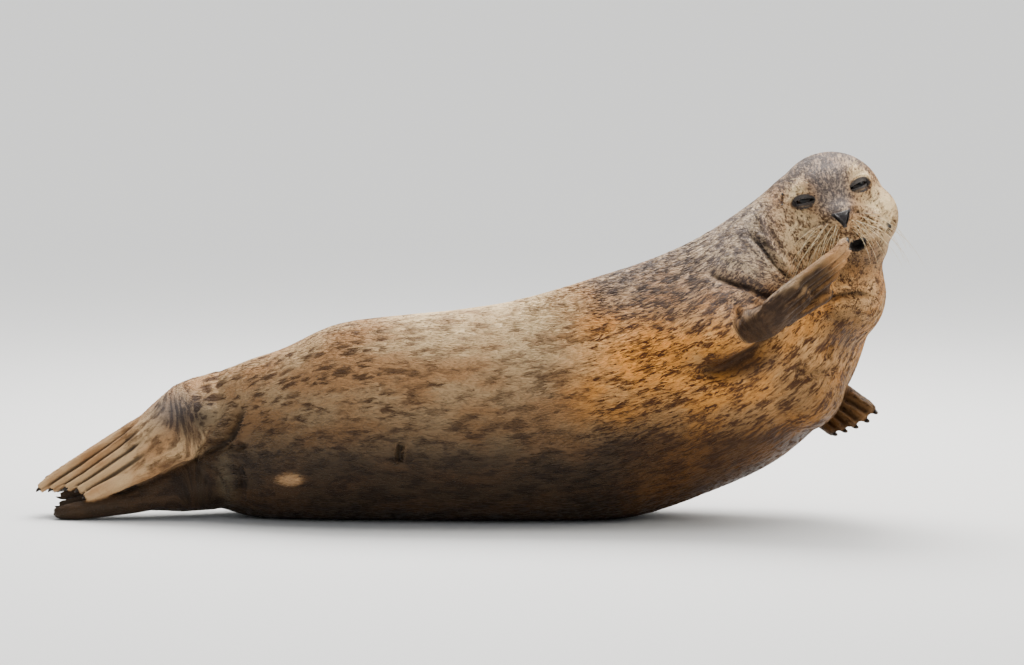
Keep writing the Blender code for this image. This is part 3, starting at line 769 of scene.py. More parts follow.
def draw_lids(hand):
    centre, outward, upward, gaze = eye_frame(hand)
    offset = skin - centre
    u, v, w = offset @ outward, offset @ upward, offset @ gaze
    near = (w > 0.004) & (np.hypot(u, v) < 0.038)
    ball = np.sqrt(np.maximum((EYE_RADIUS + LID) ** 2 - u ** 2 - v ** 2, 0.004 ** 2))
    v = v + LID_DROP
    almond = 1 - (u / ALMOND[0]) ** 2 - (v / ALMOND[1]) ** 2
    drawn = near * ramp(almond, 0.0, 0.6)
    arch = 0.0012 * (1 - (u / SLIT[0]) ** 2)
    half_open = SLIT[1] * np.sqrt(np.maximum(1 - (u / SLIT[0]) ** 2, 0))
    inside_slit = np.where(np.abs(u) < SLIT[0], half_open - np.abs(v - arch), -0.01)
    rim = 0.0010 * bell(inside_slit + 0.0018, 0.0011) - 0.0005 * bell(inside_slit + 0.0048, 0.0012)
    crease = 0.0012 * bell(almond - 0.02, 0.16) * ramp(v, -0.004, 0.006)
    brow = 0.0016 * bell(almond + 0.42, 0.30) * ramp(v, 0.0, 0.010)
    sink = 0.0052 * ramp(inside_slit, -0.0007, 0.0007)
    move = drawn * (ball - w) + near * (drawn * (rim - sink) - crease + brow)
    skin[near] += gaze * move[near, None]
    lower_rim = bell(v + 0.0085, 0.0030)
    mark("bare", near * ramp(almond, -0.10, 0.45) * (1 - 0.40 * lower_rim))


for hand in (-1, 1):
    draw_lids(hand)
print("the bare rims of the eyes hold", int((marks["bare"] > 0.5).sum()), "points")

# %% [markdown]
# ## Nose, lips and ears
#
# A seal shuts its nostrils at rest. They are two slits that run together like a V in bare dark leather, with
# a groove below them to the upper lip. The lips follow one long arc round the jaw. The ear is only a slit.

# %% Sculpt the nostrils, the lips and the ears
LIP_LEVEL, LIP_RISE = -0.047, 0.022  # height of the lips' middle, and how much higher the corners are
LIP_BACK, LIP_WIDE, LIP_LONG = 0.058, 0.074, 0.078
LIP_TURN = 60.0  # how far the lips run round the jaw, in degrees either way
NOSE_TOP, NOSE_FOOT = 0.0150, 0.0020  # half the distance between the nostrils' upper and lower ends
NOSE_HIGH, NOSE_LOW = 0.001, -0.0200
FACE_DARK = 0.0060  # a slit of the face this deep is at its darkest
# Paths on the head, as sideways, forward and up.
PAD_GROOVE = ((0.018, 0.14, 0.003), (0.040, 0.125, -0.004), (0.060, 0.105, -0.020), (0.072, 0.09, -0.040))
EAR = ((0.0819, 0.0398, 0.0497), (0.0855, 0.0502, 0.0418), (0.0890, 0.0597, 0.0338))
CHEEK_SLASH = ((0.0723, 0.066, -0.0640), (0.083, 0.062, -0.052), (0.090, 0.056, -0.040))


def face_path(rows, hand=1):
    """A path on the skin of the head, or its mirror on the other hand."""
    return [face_point(hand * sideways, forward, up) for sideways, forward, up in rows]


def lip_point(degrees):
    turn = math.radians(degrees)
    rise = LIP_RISE * (1 - math.cos(turn)) / (1 - math.cos(math.radians(LIP_TURN)))
    return face_point(LIP_WIDE * math.sin(turn), LIP_BACK + LIP_LONG * math.cos(turn), LIP_LEVEL + rise)


def nostril_point(hand, share):
    """The point of the skin this far down one nostril, which bows a little inwards."""
    bow = -0.0012 * math.sin(math.pi * share)
    return front_point(hand * (NOSE_TOP + (NOSE_FOOT - NOSE_TOP) * share + bow),
                       NOSE_HIGH + (NOSE_LOW - NOSE_HIGH) * share)


def smudge(path, width):
    """Marks the bare skin along a path."""
    distance, _ = distance_to_path(skin, curve_through(path, PATH_STEPS))
    mark("bare", 1 - ramp(distance, 0.6 * width, width))


normals = normals_now()
for hand in (-1, 1):
    press(face_path(PAD_GROOVE, hand), 0.0042, 0.0055, 0.45, full_dark=FACE_DARK)
    nostril = [nostril_point(hand, share) for share in (0, 0.33, 0.67, 1)]
    press(nostril, 0.0060, 0.0016, 0.25, 0.10, full_dark=FACE_DARK)
    ear = face_path(EAR, hand)
    press(ear, 0.0050, 0.0020, 0.35, full_dark=FACE_DARK)
    smudge(ear, 0.0026)
philtrum = [front_point(0, NOSE_LOW), front_point(-0.001, -0.031), front_point(-0.002, -0.041)]
smudge(philtrum, 0.0020)
press(philtrum, 0.0030, 0.0017, 0.35, 0.1, full_dark=0.0030)
lips = [lip_point(degrees) for degrees in np.linspace(-LIP_TURN, LIP_TURN, 15)]
press(lips, 0.0040, 0.0026, 0.25, 0.30, full_dark=FACE_DARK)
press(face_path(CHEEK_SLASH), 0.0095, 0.0044, 0.30, 0.25, full_dark=0.0095)
print("the lips run through", len(lips), "points")

# %% [markdown]
# ## Mouth and bare skin
#
# The mouth is open a little beside the digits. An oval hollow with painted shade in it is enough for that,
# since nothing of its inside is seen. The nose is bare leather in the shape of a triangle between the
# nostrils, and that triangle is used twice: here as a mark on the skin, and at the end for the leather
# itself.

# %% Open the mouth and bare the nose
SLASH_BARE = ((0.082, 0.062, -0.052), (0.0095, 0.020, 0.0150))  # bare skin at the cheek: centre and sizes
MOUTH_GAP = ((0.0165, 0.118, -0.0620), (0.0190, 0.036, 0.0150))  # centre and sizes
MOUTH_DEPTH = 0.018


def open_mouth(centre, sizes):
    """Sinks an oval between the lips, flat on top under the upper lip."""
    offset = (to_head(skin) - centre) / sizes
    upper_lip = 2 * offset[:, 2] - 0.30
    reach = np.maximum(np.linalg.norm(offset, axis=1), upper_lip)
    skin[:] -= np.array(AHEAD) * (MOUTH_DEPTH * (1 - ramp(reach, 0.35, 1.0)))[:, None]
    # painted shade inside the mouth
    mark("crease", 1 - ramp(reach, 0.60, 0.90))
    mark("bare", 1 - ramp(reach, 0.75, 1.05))


def blot(centre, sizes, strength):
    """Marks the bare skin inside an ellipsoid on the head, with a soft edge."""
    reach = np.linalg.norm((to_head(skin) - centre) / sizes, axis=1)
    mark("bare", strength * (1 - ramp(reach, 0.75, 1.1)))


def nose_reach():
    """How far each point is outside the nose's triangle, as a share of its width there."""
    sideways, forward, up = to_head(skin).T
    share = np.clip((NOSE_HIGH - up) / (NOSE_HIGH - NOSE_LOW), 0, 1)
    half = NOSE_TOP + (NOSE_FOOT - NOSE_TOP) * share
    beyond = np.maximum(up - NOSE_HIGH - 0.002, NOSE_LOW - 0.002 - up) / 0.004
    return np.maximum((np.abs(sideways) - half) / 0.0035, beyond) + 10 * (forward < 0.11)


open_mouth(*MOUTH_GAP)
blot(*SLASH_BARE, 0.9)
mark("bare", 1 - ramp(nose_reach(), -0.2, 0.9))
print("bare skin now covers", int((marks["bare"] > 0.5).sum()), "points")

# %% [markdown]
# ## Whisker pads
#
# Each whisker grows from a dark dimple, and the dimples stand in curved rows on the pads beside the nose. Two
# loops place them, and the places are kept, so that the whiskers can be planted there at the end.

# %% Place the whiskers' dimples
WHISKER_ROWS, WHISKERS_IN_ROW = 6, 7
DIMPLE_DEPTH, DIMPLE_WIDTH, FRECKLE_WIDTH = 0.0005, 0.0014, 0.0020
normals = normals_now()
whisker_roots = []
for hand in (-1, 1):
    for row in range(WHISKER_ROWS):
        for column in range(WHISKERS_IN_ROW - row % 2):
            out = 0.0135 + 0.0068 * column + 0.0016 * (row % 2)
            up = -0.0135 - 0.0052 * row + 0.0022 * column - 0.0004 * column ** 2
            root = front_point(hand * out, up)
            whisker_roots.append((hand, row, column, root))
            near = np.flatnonzero(np.abs(skin - root).max(axis=1) < 0.006)
            distance = np.linalg.norm(skin[near] - root, axis=1)
            skin[near] -= normals[near] * (DIMPLE_DEPTH * bell(distance, DIMPLE_WIDTH))[:, None]
            mark("freckle", bell(distance, FRECKLE_WIDTH), near)
print("the muzzle has", len(whisker_roots), "whisker dimples")

# %% [markdown]
# ## Digits in a flipper
#
# Each flipper is a web of skin over five fingers. The fingers show as soft ridges that run to the claws, with
# grooves between them. Across the flipper the digits are numbered, and a wave with one crest on every digit
# lifts and sinks the skin, on the back and on the palm alike. It fades in from the wrist.

# %% Raise the digits and sink the web
RELIEF = {"fore": 0.0030, "hind": 0.0036}
normals = normals_now()
on_each = owner[:, None] == [FLESH.index(flipper.name) for flipper in flippers]
own = soften(on_each.astype(float), skin_edges, 8, 0.5)
own_limb = {flipper.name: own[:, number] for number, flipper in enumerate(flippers)}
for flipper in flippers:
    near = np.flatnonzero(own_limb[flipper.name] > 0.02)
    reach, across, _ = flipper.local(skin[near]).T
    lines = [flipper.local(flipper.digit_path(number)) for number in range(DIGITS)]
    middles = np.stack([np.interp(reach, line[:, 0], line[:, 1]) for line in lines], 1)
    gaps = np.maximum(np.diff(middles, axis=1), 0.002)
    digit = np.clip((across[:, None] - middles[:, :-1]) / gaps, 0, 1).sum(axis=1)
    wave = np.cos(2 * math.pi * digit)
    wave = np.where(wave < 0, -np.abs(wave) ** 0.8, wave)
    flat = np.abs(normals[near] @ flipper.palm)
    fade = ramp(reach, 0.0, 0.055) * flat * own_limb[flipper.name][near]
    skin[near] += normals[near] * (RELIEF[flipper.name[:4]] * fade * (wave - 0.25))[:, None]
    # painted shade in the grooves between the digits
    mark("crease", 0.8 * fade * ramp(-wave, 0.2, 1.0), near)
print("the flippers have", len(flippers) * DIGITS, "digits")

# %% [markdown]
# ## The digits that are held to the mouth
#
# The lifted flipper is bent at its fingers, as if to nibble a claw. Past a line a few centimetres short of
# the claws, everything turns about an axis on the palm's side, skin and claws alike.

# %% Curl the digits that are held to the mouth
CURL_SPAN = 0.040  # how much of each digit bends
CURL_RADIUS = 0.048  # of the bend
CURL_DRAW = 0.95  # how far along the bend a point goes for each metre of digit
raised = flippers[0]
tip_places = raised.local(np.array([base for base, tip in raised.claw_lines]))


def curled(points):
    """Points of the raised flipper, with the last stretch of its digits bent towards the palm."""
    reach, across, palm = raised.local(points).T
    start = np.interp(across, tip_places[:, 1], tip_places[:, 0]) - CURL_SPAN
    turn = np.maximum(reach - start, 0) * CURL_DRAW / CURL_RADIUS
    bent = np.stack([np.minimum(reach, start) + (CURL_RADIUS - palm) * np.sin(turn), across,
                     CURL_RADIUS - (CURL_RADIUS - palm) * np.cos(turn)], 1)
    return raised.wrist + bent @ np.array([raised.along, raised.across, raised.palm])


held_up = np.flatnonzero(own_limb[raised.name] > 0.02)
skin[held_up] = curled(skin[held_up])
print("curled", len(held_up), "points of", raised.name)

# %% [markdown]
# ## Room for the coat
#
# The frame's surface is where the coat ends, so the skin goes inwards by the coat's depth: a few millimetres
# on the trunk, less on the face, and nearly nothing on the flippers, where the hair is shortest.

# %% Sink the skin by the coat's depth
BODY_COAT, FACE_COAT, LIMB_COAT = 0.0024, 0.0010, 0.0005
normals = normals_now()
coat_depth = BODY_COAT * (1 - face) * (1 - limb) + FACE_COAT * face * (1 - limb) + LIMB_COAT * limb
coat_depth = coat_depth * (1 - np.clip(marks["bare"] * 1.5, 0, 1))
skin -= normals * coat_depth[:, None]
skin[:, 2] = np.maximum(skin[:, 2], 0.0)
normals = normals_now()
print("the coat is", round(float(coat_depth.max()) * 1000, 1), "mm deep at most")

# %% [markdown]
# ## Which way the coat lies
#
# Hair lies from the nose to the hind toes, and along every flipper. A backbone through the trunk says how far
# back each point is and where round the body it is, and each flipper has its own frame. These three numbers
# go with every point as an attribute. Streaks, spots and mottling are then drawn in them, so that they are
# long where hair is long and they bend with the body.

# %% Work out the lie of the coat
HEAD_LINE = ((0.150, -0.010), (0.075, -0.008), (0.0, -0.012))  # forward and up on the head
BACKBONE = [tuple(on_head(0, forward, up)) for forward, up in HEAD_LINE] + [
    (0.631, 0.031, 0.462), (0.583, 0.023, 0.386), (0.496, 0.019, 0.309), (0.387, 0.017, 0.259),
    (0.261, 0.017, 0.216), (0.135, 0.017, 0.195), (0.009, 0.017, 0.185), (-0.117, 0.017, 0.180),
    (-0.243, 0.021, 0.172), (-0.351, 0.031, 0.151), (-0.467, 0.035, 0.130), (-0.560, 0.035, 0.105),
    (-0.650, 0.040, 0.080), (-0.760, 0.045, 0.055)]
BLEND_REACH = 0.045  # how softly one stretch of the backbone hands over to the next
AT_ONCE = 40000  # points measured together, to spare memory
FLIPPER_REACH = 0.26  # a flipper's own frame counts within this of its wrist
HAND_OVER = (-0.10, -0.02)  # where, along the flipper, its frame takes over from the body's
UNWRAP_START, UNWRAP_SPARE = 0.04, 0.1  # the texture map's margin at the nose, and spare length at the toes

spine = curve_through(BACKBONE, PATH_STEPS)
spine_at = np.concatenate([[0], np.cumsum(np.linalg.norm(np.diff(spine, axis=0), axis=1))])
spine_way = unit(np.gradient(spine, axis=0))
spine_side = [np.array(SIDE)]
for way in spine_way:
    spine_side.append(unit(spine_side[-1] - way * (spine_side[-1] @ way)))
spine_side = np.array(spine_side[1:])
spine_rise = np.cross(spine_way, spine_side)


def lie_of(points):
    """Place along the body, two places across it, and the way the hair points, for each point."""
    place = np.empty((len(points), 3))
    way = np.empty((len(points), 3))
    for start in range(0, len(points), AT_ONCE):
        part = slice(start, start + AT_ONCE)
        offset = points[part, None] - spine[None]
        square = (offset ** 2).sum(axis=2)
        weight = np.exp((square.min(axis=1)[:, None] - square) / (2 * BLEND_REACH ** 2))
        weight /= weight.sum(axis=1)[:, None]
        along = spine_at + np.einsum("ijk,jk->ij", offset, spine_way)
        side = np.einsum("ijk,jk->ij", offset, spine_side)
        rise = np.einsum("ijk,jk->ij", offset, spine_rise)
        place[part] = np.stack([(weight * each).sum(axis=1) for each in (along, side, rise)], 1)
        way[part] = weight @ spine_way
    return place, unit(way)


lie, flow = lie_of(skin)
turn_round = np.arctan2(lie[:, 2], lie[:, 1]) / (2 * math.pi) + 0.5
far_along = lie[:, 0] / (spine_at[-1] + UNWRAP_SPARE)
unwrap = np.stack([np.clip(far_along + UNWRAP_START, 0, 1), turn_round], 1)
for flipper in flippers:
    mine = np.flatnonzero((limb > 0) & (np.linalg.norm(skin - flipper.wrist, axis=1) < FLIPPER_REACH))
    mine = mine[flipper.local(skin[mine])[:, 0] > HAND_OVER[0]]
    local = flipper.local(skin[mine])
    share = limb[mine] * ramp(local[:, 0], *HAND_OVER) * ramp(own_limb[flipper.name][mine], 0.0, 0.5)
    share = share[:, None]
    lie[mine] = lie[mine] * (1 - share) + (local + (lie[mine, 0].mean(), 0, 0)) * share
    flow[mine] = unit(flow[mine] * (1 - share) + flipper.along * share)
print("the coat is", round(float(spine_at[-1]), 2), "m long from the nose to the hind toes")

# %% [markdown]
# ## Zones of the coat
#
# A half dry seal has several coats at once. Dry hair on the shoulder, neck and face is pale and golden and
# stands up a little. The belly is wet and nearly black brown, and the wet field also carries painted shade
# under the body, in hollows, behind the lifted flipper, under the throat and the jaw, and at the root of the
# hind flippers. The pale field carries a painted sheen along the top of the back. The crown and the bridge of
# the nose are grey. Every zone is a soft-edged field in the seal's own space, the same on both sides of the
# body, and each one is kept as an attribute that the coat's colour mixes by.

# %% Say where each colour lies
GOLDEN_ZONES = (
    # strength, span of x, span of z, softness
    (1.00, (0.21, 0.50), (0.185, 0.405), 0.07),                 # the shoulder
    (0.70, (0.30, 0.72), (0.00, 0.46), 0.08),                   # the chest
)
# painted shade: the hollow behind the lifted flipper, the throat under the head, the root of the hind
# flippers
PAINTED_SHADE_SPOTS = (
    # strength, centre, sizes
    (1.10, (0.48, -0.150, 0.300), (0.100, 0.06, 0.040)),        # behind the lifted flipper
    (0.90, (0.675, -0.10, 0.345), (0.075, 0.09, 0.070)),        # the throat
    (0.85, (-0.478, -0.03, 0.182), (0.070, 0.09, 0.042)),       # the root of the hind flippers
)
# the chin's spot is painted shade under the jaw; the right whisker pad is only darker
DARKER_FACE_SPOTS = (
    # strength, centre and sizes on the head
    (0.72, (0.01, 0.095, -0.092), (0.080, 0.08, 0.040)),        # the chin
    (0.42, (-0.036, 0.120, -0.034), (0.038, 0.05, 0.024)),      # the right whisker pad
)
CREAM_FACE_SPOTS = (
    (1.0, (-0.074, 0.055, -0.022), (0.040, 0.06, 0.042)),       # the cheeks
    (1.0, (0.074, 0.055, -0.022), (0.040, 0.06, 0.042)),
    (0.9, (-0.066, 0.075, 0.052), (0.022, 0.04, 0.018)),        # over the eyes
    (0.9, (0.066, 0.075, 0.052), (0.022, 0.04, 0.018)),
    (0.2, (0.0, 0.110, -0.045), (0.060, 0.06, 0.030)),          # the muzzle
)
CREAM_SPOTS = (
    (0.3, (-0.460, -0.045, 0.178), (0.030, 0.06, 0.034)),       # the hip
    (1.1, (-0.427, -0.058, 0.078), (0.016, 0.05, 0.045)),       # the roll behind the hip
)
CREAM_AND_SHEEN_ZONES = (
    (0.45, (0.44, 0.58), (0.44, 0.50), 0.03),                   # the side of the neck
    # painted sheen along the top of the back
    (0.50, (-0.12, 0.19), (0.325, 0.60), 0.06),                 # the back
)
PALE_PATCH = (-0.310, -0.111, 0.086), (0.024, 0.06, 0.013)  # centre and sizes
x, _, z = skin.T
on_face = to_head(skin)
crease_shade, bare = marks["crease"], marks["bare"]


def zone(x_range, z_range, soft):
    """1 inside these spans of x and z, with soft edges."""
    inside = 1.0
    for values, (low, high) in ((x, x_range), (z, z_range)):
        inside = inside * ramp(values, low - soft, low + soft)
        inside = inside * (1 - ramp(values, high - soft, high + soft))
    return inside


def spot(points, centre, sizes):
    """A soft ellipsoid of 1 at its middle."""
    return np.exp(-(((points - centre) / sizes) ** 2).sum(axis=1))


def zones(rows):
    return [strength * zone(*row) for strength, *row in rows]


def spots(points, rows):
    return [strength * spot(points, *row) for strength, *row in rows]


def most(*fields):
    return np.clip(np.maximum.reduce(fields), 0, 1)


print("the cream places cover", round(float((most(*spots(on_face, CREAM_FACE_SPOTS)) > 0.5).sum())), "points")

# %% [markdown]
# ## Mixing the zones
#
# Where two fields of the same coat meet, the stronger one counts, so they join without a seam. Wet hair
# follows the water line along the flank and climbs a little towards the chest. The same field paints shade:
# it darkens the coat towards the bottom of the body, in the folds, on the flippers that lie low and on the
# lower faces of the lifted one. The pale field paints a sheen along the top of the back. The knuckles of the
# lifted flipper are paler. Tan belongs to the outer parts of the flippers.

# %% Mix the zones
golden = most(*zones(GOLDEN_ZONES)) * (1 - 0.4 * limb)
# darker towards the bottom of the body: wet hair below the water line, and painted shade under the body
damp_and_underside_shade = most(ramp(-z, -0.34, -0.09) + 0.16 * ramp(x, 0.18, 0.30) * ramp(-z, -0.34, -0.22),
            0.82 * ramp(-z, -0.52, -0.15) * ramp(x, 0.44, 0.58))
facing_up = ramp(normals[:, 2], -0.1, 0.75)
knuckles = ramp(raised.local(skin)[:, 0], 0.105, 0.150)
# painted shade on the lower hind flipper and the fore flipper on the floor; the lifted flipper is darkened
# most on its lower faces, as painted shade
wet_and_shade = most(damp_and_underside_shade * (1 - own_limb["hind_flipper_right"]), own_limb["hind_flipper_left"],
           0.65 * own_limb["fore_flipper_left"],
           (1.0 - 0.45 * facing_up) * (1 - 0.75 * knuckles) * own_limb["fore_flipper_right"],
           # painted shade low on the chest
           0.6 * zone((0.40, 0.62), (0.0, 0.22), 0.06),
           *spots(skin, PAINTED_SHADE_SPOTS), *spots(on_face, DARKER_FACE_SPOTS))
pale_patch = ramp(spot(skin, *PALE_PATCH), 0.15, 0.80)
# painted shade in the folds, except on the face
wet_and_shade = most(wet_and_shade, 0.8 * ramp(crease_shade, 0.30, 0.95) * (1 - face)) * (1 - 0.70 * pale_patch)
# a pale colour on the face, the neck and the hip, and a painted sheen along the top of the back
cream_and_sheen = most(*spots(on_face, CREAM_FACE_SPOTS), *spots(skin, CREAM_SPOTS), *zones(CREAM_AND_SHEEN_ZONES),
             0.10 * pale_patch,
             0.25 * zone((0.36, 0.56), (0.46, 0.60), 0.05) * (1 - face))
midline = np.abs(on_face[:, 0]) / (0.020 + 0.020 * ramp(on_face[:, 1], 0.14, 0.04))
crown = ramp(on_face[:, 2], 0.036, 0.078) * ramp(0.060 - on_face[:, 1], -0.03, 0.03)
grey = most((1 - ramp(midline, 0.5, 1.6)) * ramp(on_face[:, 2], -0.012, 0.012) * face,
            0.9 * crown * ramp(x, 0.48, 0.54),
            0.85 * zone((0.235, 0.56), (0.385, 0.62), 0.06) * (1 - 0.6 * face),
            spot(skin, (-0.520, -0.02, 0.200), (0.050, 0.08, 0.028)))
TAN_STRENGTH = {"fore": 0.55, "hind": 1.0}
tan = np.zeros(len(skin))
for flipper in flippers:
    outer = ramp(flipper.local(skin)[:, 0], 0.02, 0.12)
    tan = np.maximum(tan, TAN_STRENGTH[flipper.name[:4]] * outer * own_limb[flipper.name])
shag = most(zone((0.215, 0.75), (0.0, 0.9), 0.03), 0.30 * np.ones(len(skin)))
shag = shag * (1 + 0.35 * face) * (1 - 0.3 * limb)
rings = most(zone((-0.50, -0.12), (0.18, 0.60), 0.05), 0.20 * (1 - face) * (1 - limb))
shares = [round(float((field > 0.5).mean()), 2) for field in (golden, wet_and_shade)]
print("of the points, golden and wet cover", shares)

# %% [markdown]
# ## Attributes
#
# The zones are stored on the mesh as attributes, three numbers for every point. A shader can read them, the
# tufts of hair can carry them, and they hold wherever the mesh goes.

# %% Keep the zones on the skin
COAT_FIELDS = {
    "lie": lie,
    "zones": np.stack([golden, wet_and_shade, cream_and_sheen], 1),
    "marks": np.stack([grey, tan, bare], 1),
    # the first of the hollows is painted shade in folds and slits
    "hollows": np.stack([crease_shade, marks["freckle"], rings], 1),
    "blade": np.stack([0 * shag, 0 * shag, shag], 1),      # a blade's tone, how near its tip, and how shaggy
}


def keep_field(mesh, name, values):
    """Stores one vector for every point of a mesh."""
    field = mesh.attributes.new(name, "FLOAT_VECTOR", "POINT")
    field.data.foreach_set("vector", np.asarray(values, np.float32).ravel())


def keep_rings(mesh, name, along, ends, sides):
    """Stores, for each point of a form made of rings, its place along them and its way round."""
    around = np.append(np.tile(ring_turns(sides), len(along)), (0, 0))
    places = np.append(np.repeat(along, sides), ends)
    keep_field(mesh, name, np.stack([places, np.cos(around), np.sin(around)], 1))


for name, values in COAT_FIELDS.items():
    keep_field(skin_mesh, name, values)
print("the skin carries", list(COAT_FIELDS))

# %% [markdown]
# ## Finishes as node groups
#
# The skin and the hair on it must carry the same markings, or the hair would look stuck on. So the markings
# are one node group, used by both, and it reads only the attributes. Below it are two smaller groups: one
# draws the streaks of lying hair, and one draws the mottling that every harbor seal has.

# %% A short way to wire nodes
class Wiring:
    """Adds nodes to a tree. A value that is a socket is joined, and any other value is set."""

    def __init__(self, tree):
        self.tree = tree

    def fill(self, node, values):
        """Joins or sets inputs of a node, by their names or numbers."""
        for place, value in values.items():
            if isinstance(value, bpy.types.NodeSocket):
                self.tree.links.new(value, node.inputs[place])
            else:
                node.inputs[place].default_value = value

    def add(self, kind, values, output=0, **settings):
        """The wanted output of a new node."""
        node = self.tree.nodes.new(kind)
        for name, value in settings.items():
            setattr(node, name, value)
        self.fill(node, values if isinstance(values, dict) else dict(enumerate(values)))
        return node.outputs[output]

    def math(self, operation, *values):
        return self.add("ShaderNodeMath", values, operation=operation)

    def plus(self, total, weight, *factors):
        """The total, and the weight times all the factors."""
        for factor in factors[:-1]:
            weight = self.math("MULTIPLY", factor, weight)
        return self.math("MULTIPLY_ADD", factors[-1], weight, total)

    def mix(self, factor, first, second, blend="MIX"):
        """A mix of two colours. A colour is a socket or three numbers."""
        first, second = (each if isinstance(each, bpy.types.NodeSocket) else (*each, 1.0)
                         for each in (first, second))
        values = {0: factor, 6: first, 7: second}
        return self.add("ShaderNodeMix", values, 2, data_type="RGBA", blend_type=blend)

    def step(self, value, low, high, to_low=0.0, to_high=1.0):
        """A smooth step."""
        values = (value, low, high, to_low, to_high)
        return self.add("ShaderNodeMapRange", values, interpolation_type="SMOOTHSTEP")

    def noise(self, place, detail=2.0, roughness=0.5, distortion=0.0, scale=1.0):
        values = {"Vector": place, "Scale": scale, "Detail": detail, "Roughness": roughness,
                  "Distortion": distortion}
        return self.add("ShaderNodeTexNoise", values)

    def cell(self, place, length, width):
        """The place measured in cells of this length along the hair and this width across it."""
        inverse = [self.math("DIVIDE", 1.0, size) for size in (length, width, width)]
        scale = self.add("ShaderNodeCombineXYZ", inverse)
        return self.add("ShaderNodeVectorMath", (place, scale), operation="MULTIPLY")

    def field(self, name):
        """An attribute of the mesh, as a vector."""
        return self.add("ShaderNodeAttribute", (), 1, attribute_name=name)

    def parts(self, vector):
        """The three numbers of a vector."""
        node = self.tree.nodes.new("ShaderNodeSeparateXYZ")
        self.tree.links.new(vector, node.inputs[0])
        return node.outputs


print("a wiring can", [name for name in vars(Wiring) if not name.startswith("_")])

# %% Groups and colours
def new_group(name, inputs, outputs):
    """An empty node group, its wiring, what comes in, and the node where it all goes out."""
    group = bpy.data.node_groups.new(name, "ShaderNodeTree")
    kinds = {float: "NodeSocketFloat", tuple: "NodeSocketColor", str: "NodeSocketVector"}
    for label, value in inputs.items():
        socket = group.interface.new_socket(label, in_out="INPUT", socket_type=kinds[type(value)])
        if type(value) is not str:
            socket.default_value = value
    for label, kind in outputs.items():
        group.interface.new_socket(label, in_out="OUTPUT", socket_type=kinds[kind])
    arrive = group.nodes.new("NodeGroupInput").outputs
    return group, Wiring(group), arrive, group.nodes.new("NodeGroupOutput")


def use_group(wiring, group, **values):
    """Places a group in a tree, and returns its outputs."""
    node = wiring.tree.nodes.new("ShaderNodeGroup")
    node.node_tree = group
    wiring.fill(node, {name.replace("_", " "): value for name, value in values.items()})
    return node.outputs


def srgb(red, green, blue):
    """A colour by its 0 to 255 values on a screen, as the linear one that shaders use."""
    share = np.array((red, green, blue)) / 255
    linear = np.where(share < 0.04045, share / 12.92, ((share + 0.055) / 1.055) ** 2.4)
    return tuple(float(value) for value in linear)


def rgba(*screen):
    return (*srgb(*screen), 1.0)


print("a middle grey on a screen is", round(srgb(128, 128, 128)[0], 3), "as light")

# %% [markdown]
# ## Lying hair
#
# Hair clumps into locks a few millimetres wide, and single hairs show inside them. Both are noise in the lie
# of the coat, stretched along it. The lie is measured in metres, so a cell of the noise has a real size.

# %% The group that draws lying hair
LYING_FUR, wires, come, go = new_group(
    "lying_fur",
    {"Lie": "", "Lock Length": 0.021, "Lock Width": 0.0040, "Hair Length": 0.012, "Hair Width": 0.0012},
    {"Locks": float, "Hairs": float, "Height": float})
lock_place = wires.cell(come["Lie"], come["Lock Length"], come["Lock Width"])
hair_place = wires.cell(come["Lie"], come["Hair Length"], come["Hair Width"])
locks = wires.step(wires.noise(lock_place, 2.0, 0.55, 0.35), 0.30, 0.70)
hairs = wires.step(wires.noise(hair_place, 1.0, 0.5, 0.15), 0.28, 0.72)
height = wires.plus(wires.math("MULTIPLY", locks, 0.65), 0.35, hairs)
wires.fill(go, {"Locks": locks, "Hairs": hairs, "Height": height})
print(LYING_FUR.name, "puts out", [socket.name for socket in go.inputs if socket.name])

# %% [markdown]
# ## Mottling
#
# No two harbor seals have the same spots. Broad blotches and small dark spots come from noise. The pale rings
# on the back are the edges of a Voronoi pattern. All of them waver a little, or they would look printed.

# %% The group that draws the mottling
WANDER_SCALE, WANDER_REACH = 55.0, 0.012  # how closely the edges of the markings waver, and how far
MOTTLING, wires, come, go = new_group(
    "seal_mottling",
    {"Lie": "", "Blotch Length": 0.040, "Blotch Width": 0.018, "Spot Length": 0.016, "Spot Width": 0.0085},
    {"Blotches": float, "Spots": float, "Rings": float})
wander = wires.add("ShaderNodeTexNoise", {"Vector": come["Lie"], "Scale": WANDER_SCALE, "Detail": 2.0}, 1)
wander = wires.add("ShaderNodeVectorMath", (wander, (0.5, 0.5, 0.5)), operation="SUBTRACT")
wander = wires.add("ShaderNodeVectorMath", {0: wander, 3: WANDER_REACH}, operation="SCALE")
bent = wires.add("ShaderNodeVectorMath", (come["Lie"], wander), operation="ADD")
blotch_place = wires.cell(bent, come["Blotch Length"], come["Blotch Width"])
spot_place = wires.cell(bent, come["Spot Length"], come["Spot Width"])
ring_edges = wires.add("ShaderNodeTexVoronoi", {"Vector": blotch_place, "Scale": 1.0}, 0,
                       feature="DISTANCE_TO_EDGE")
wires.fill(go, {"Blotches": wires.step(wires.noise(blotch_place, 3.0, 0.55), 0.38, 0.62),
                "Spots": wires.step(wires.noise(spot_place, 2.0, 0.5), 0.55, 0.66),
                "Rings": wires.step(ring_edges, 0.17, 0.03)})
print(MOTTLING.name, "puts out", [socket.name for socket in go.inputs if socket.name])

# %% [markdown]
# ## The colours of the coat
#
# Every hair has a dark and a pale colour for its zone, and one number says how much of the pale one shows.
# Locks, spots, rings and single blades each add to that number or take from it. Bare skin, shade and
# wetness come on top, in that order, and the wetness carries more painted shade.

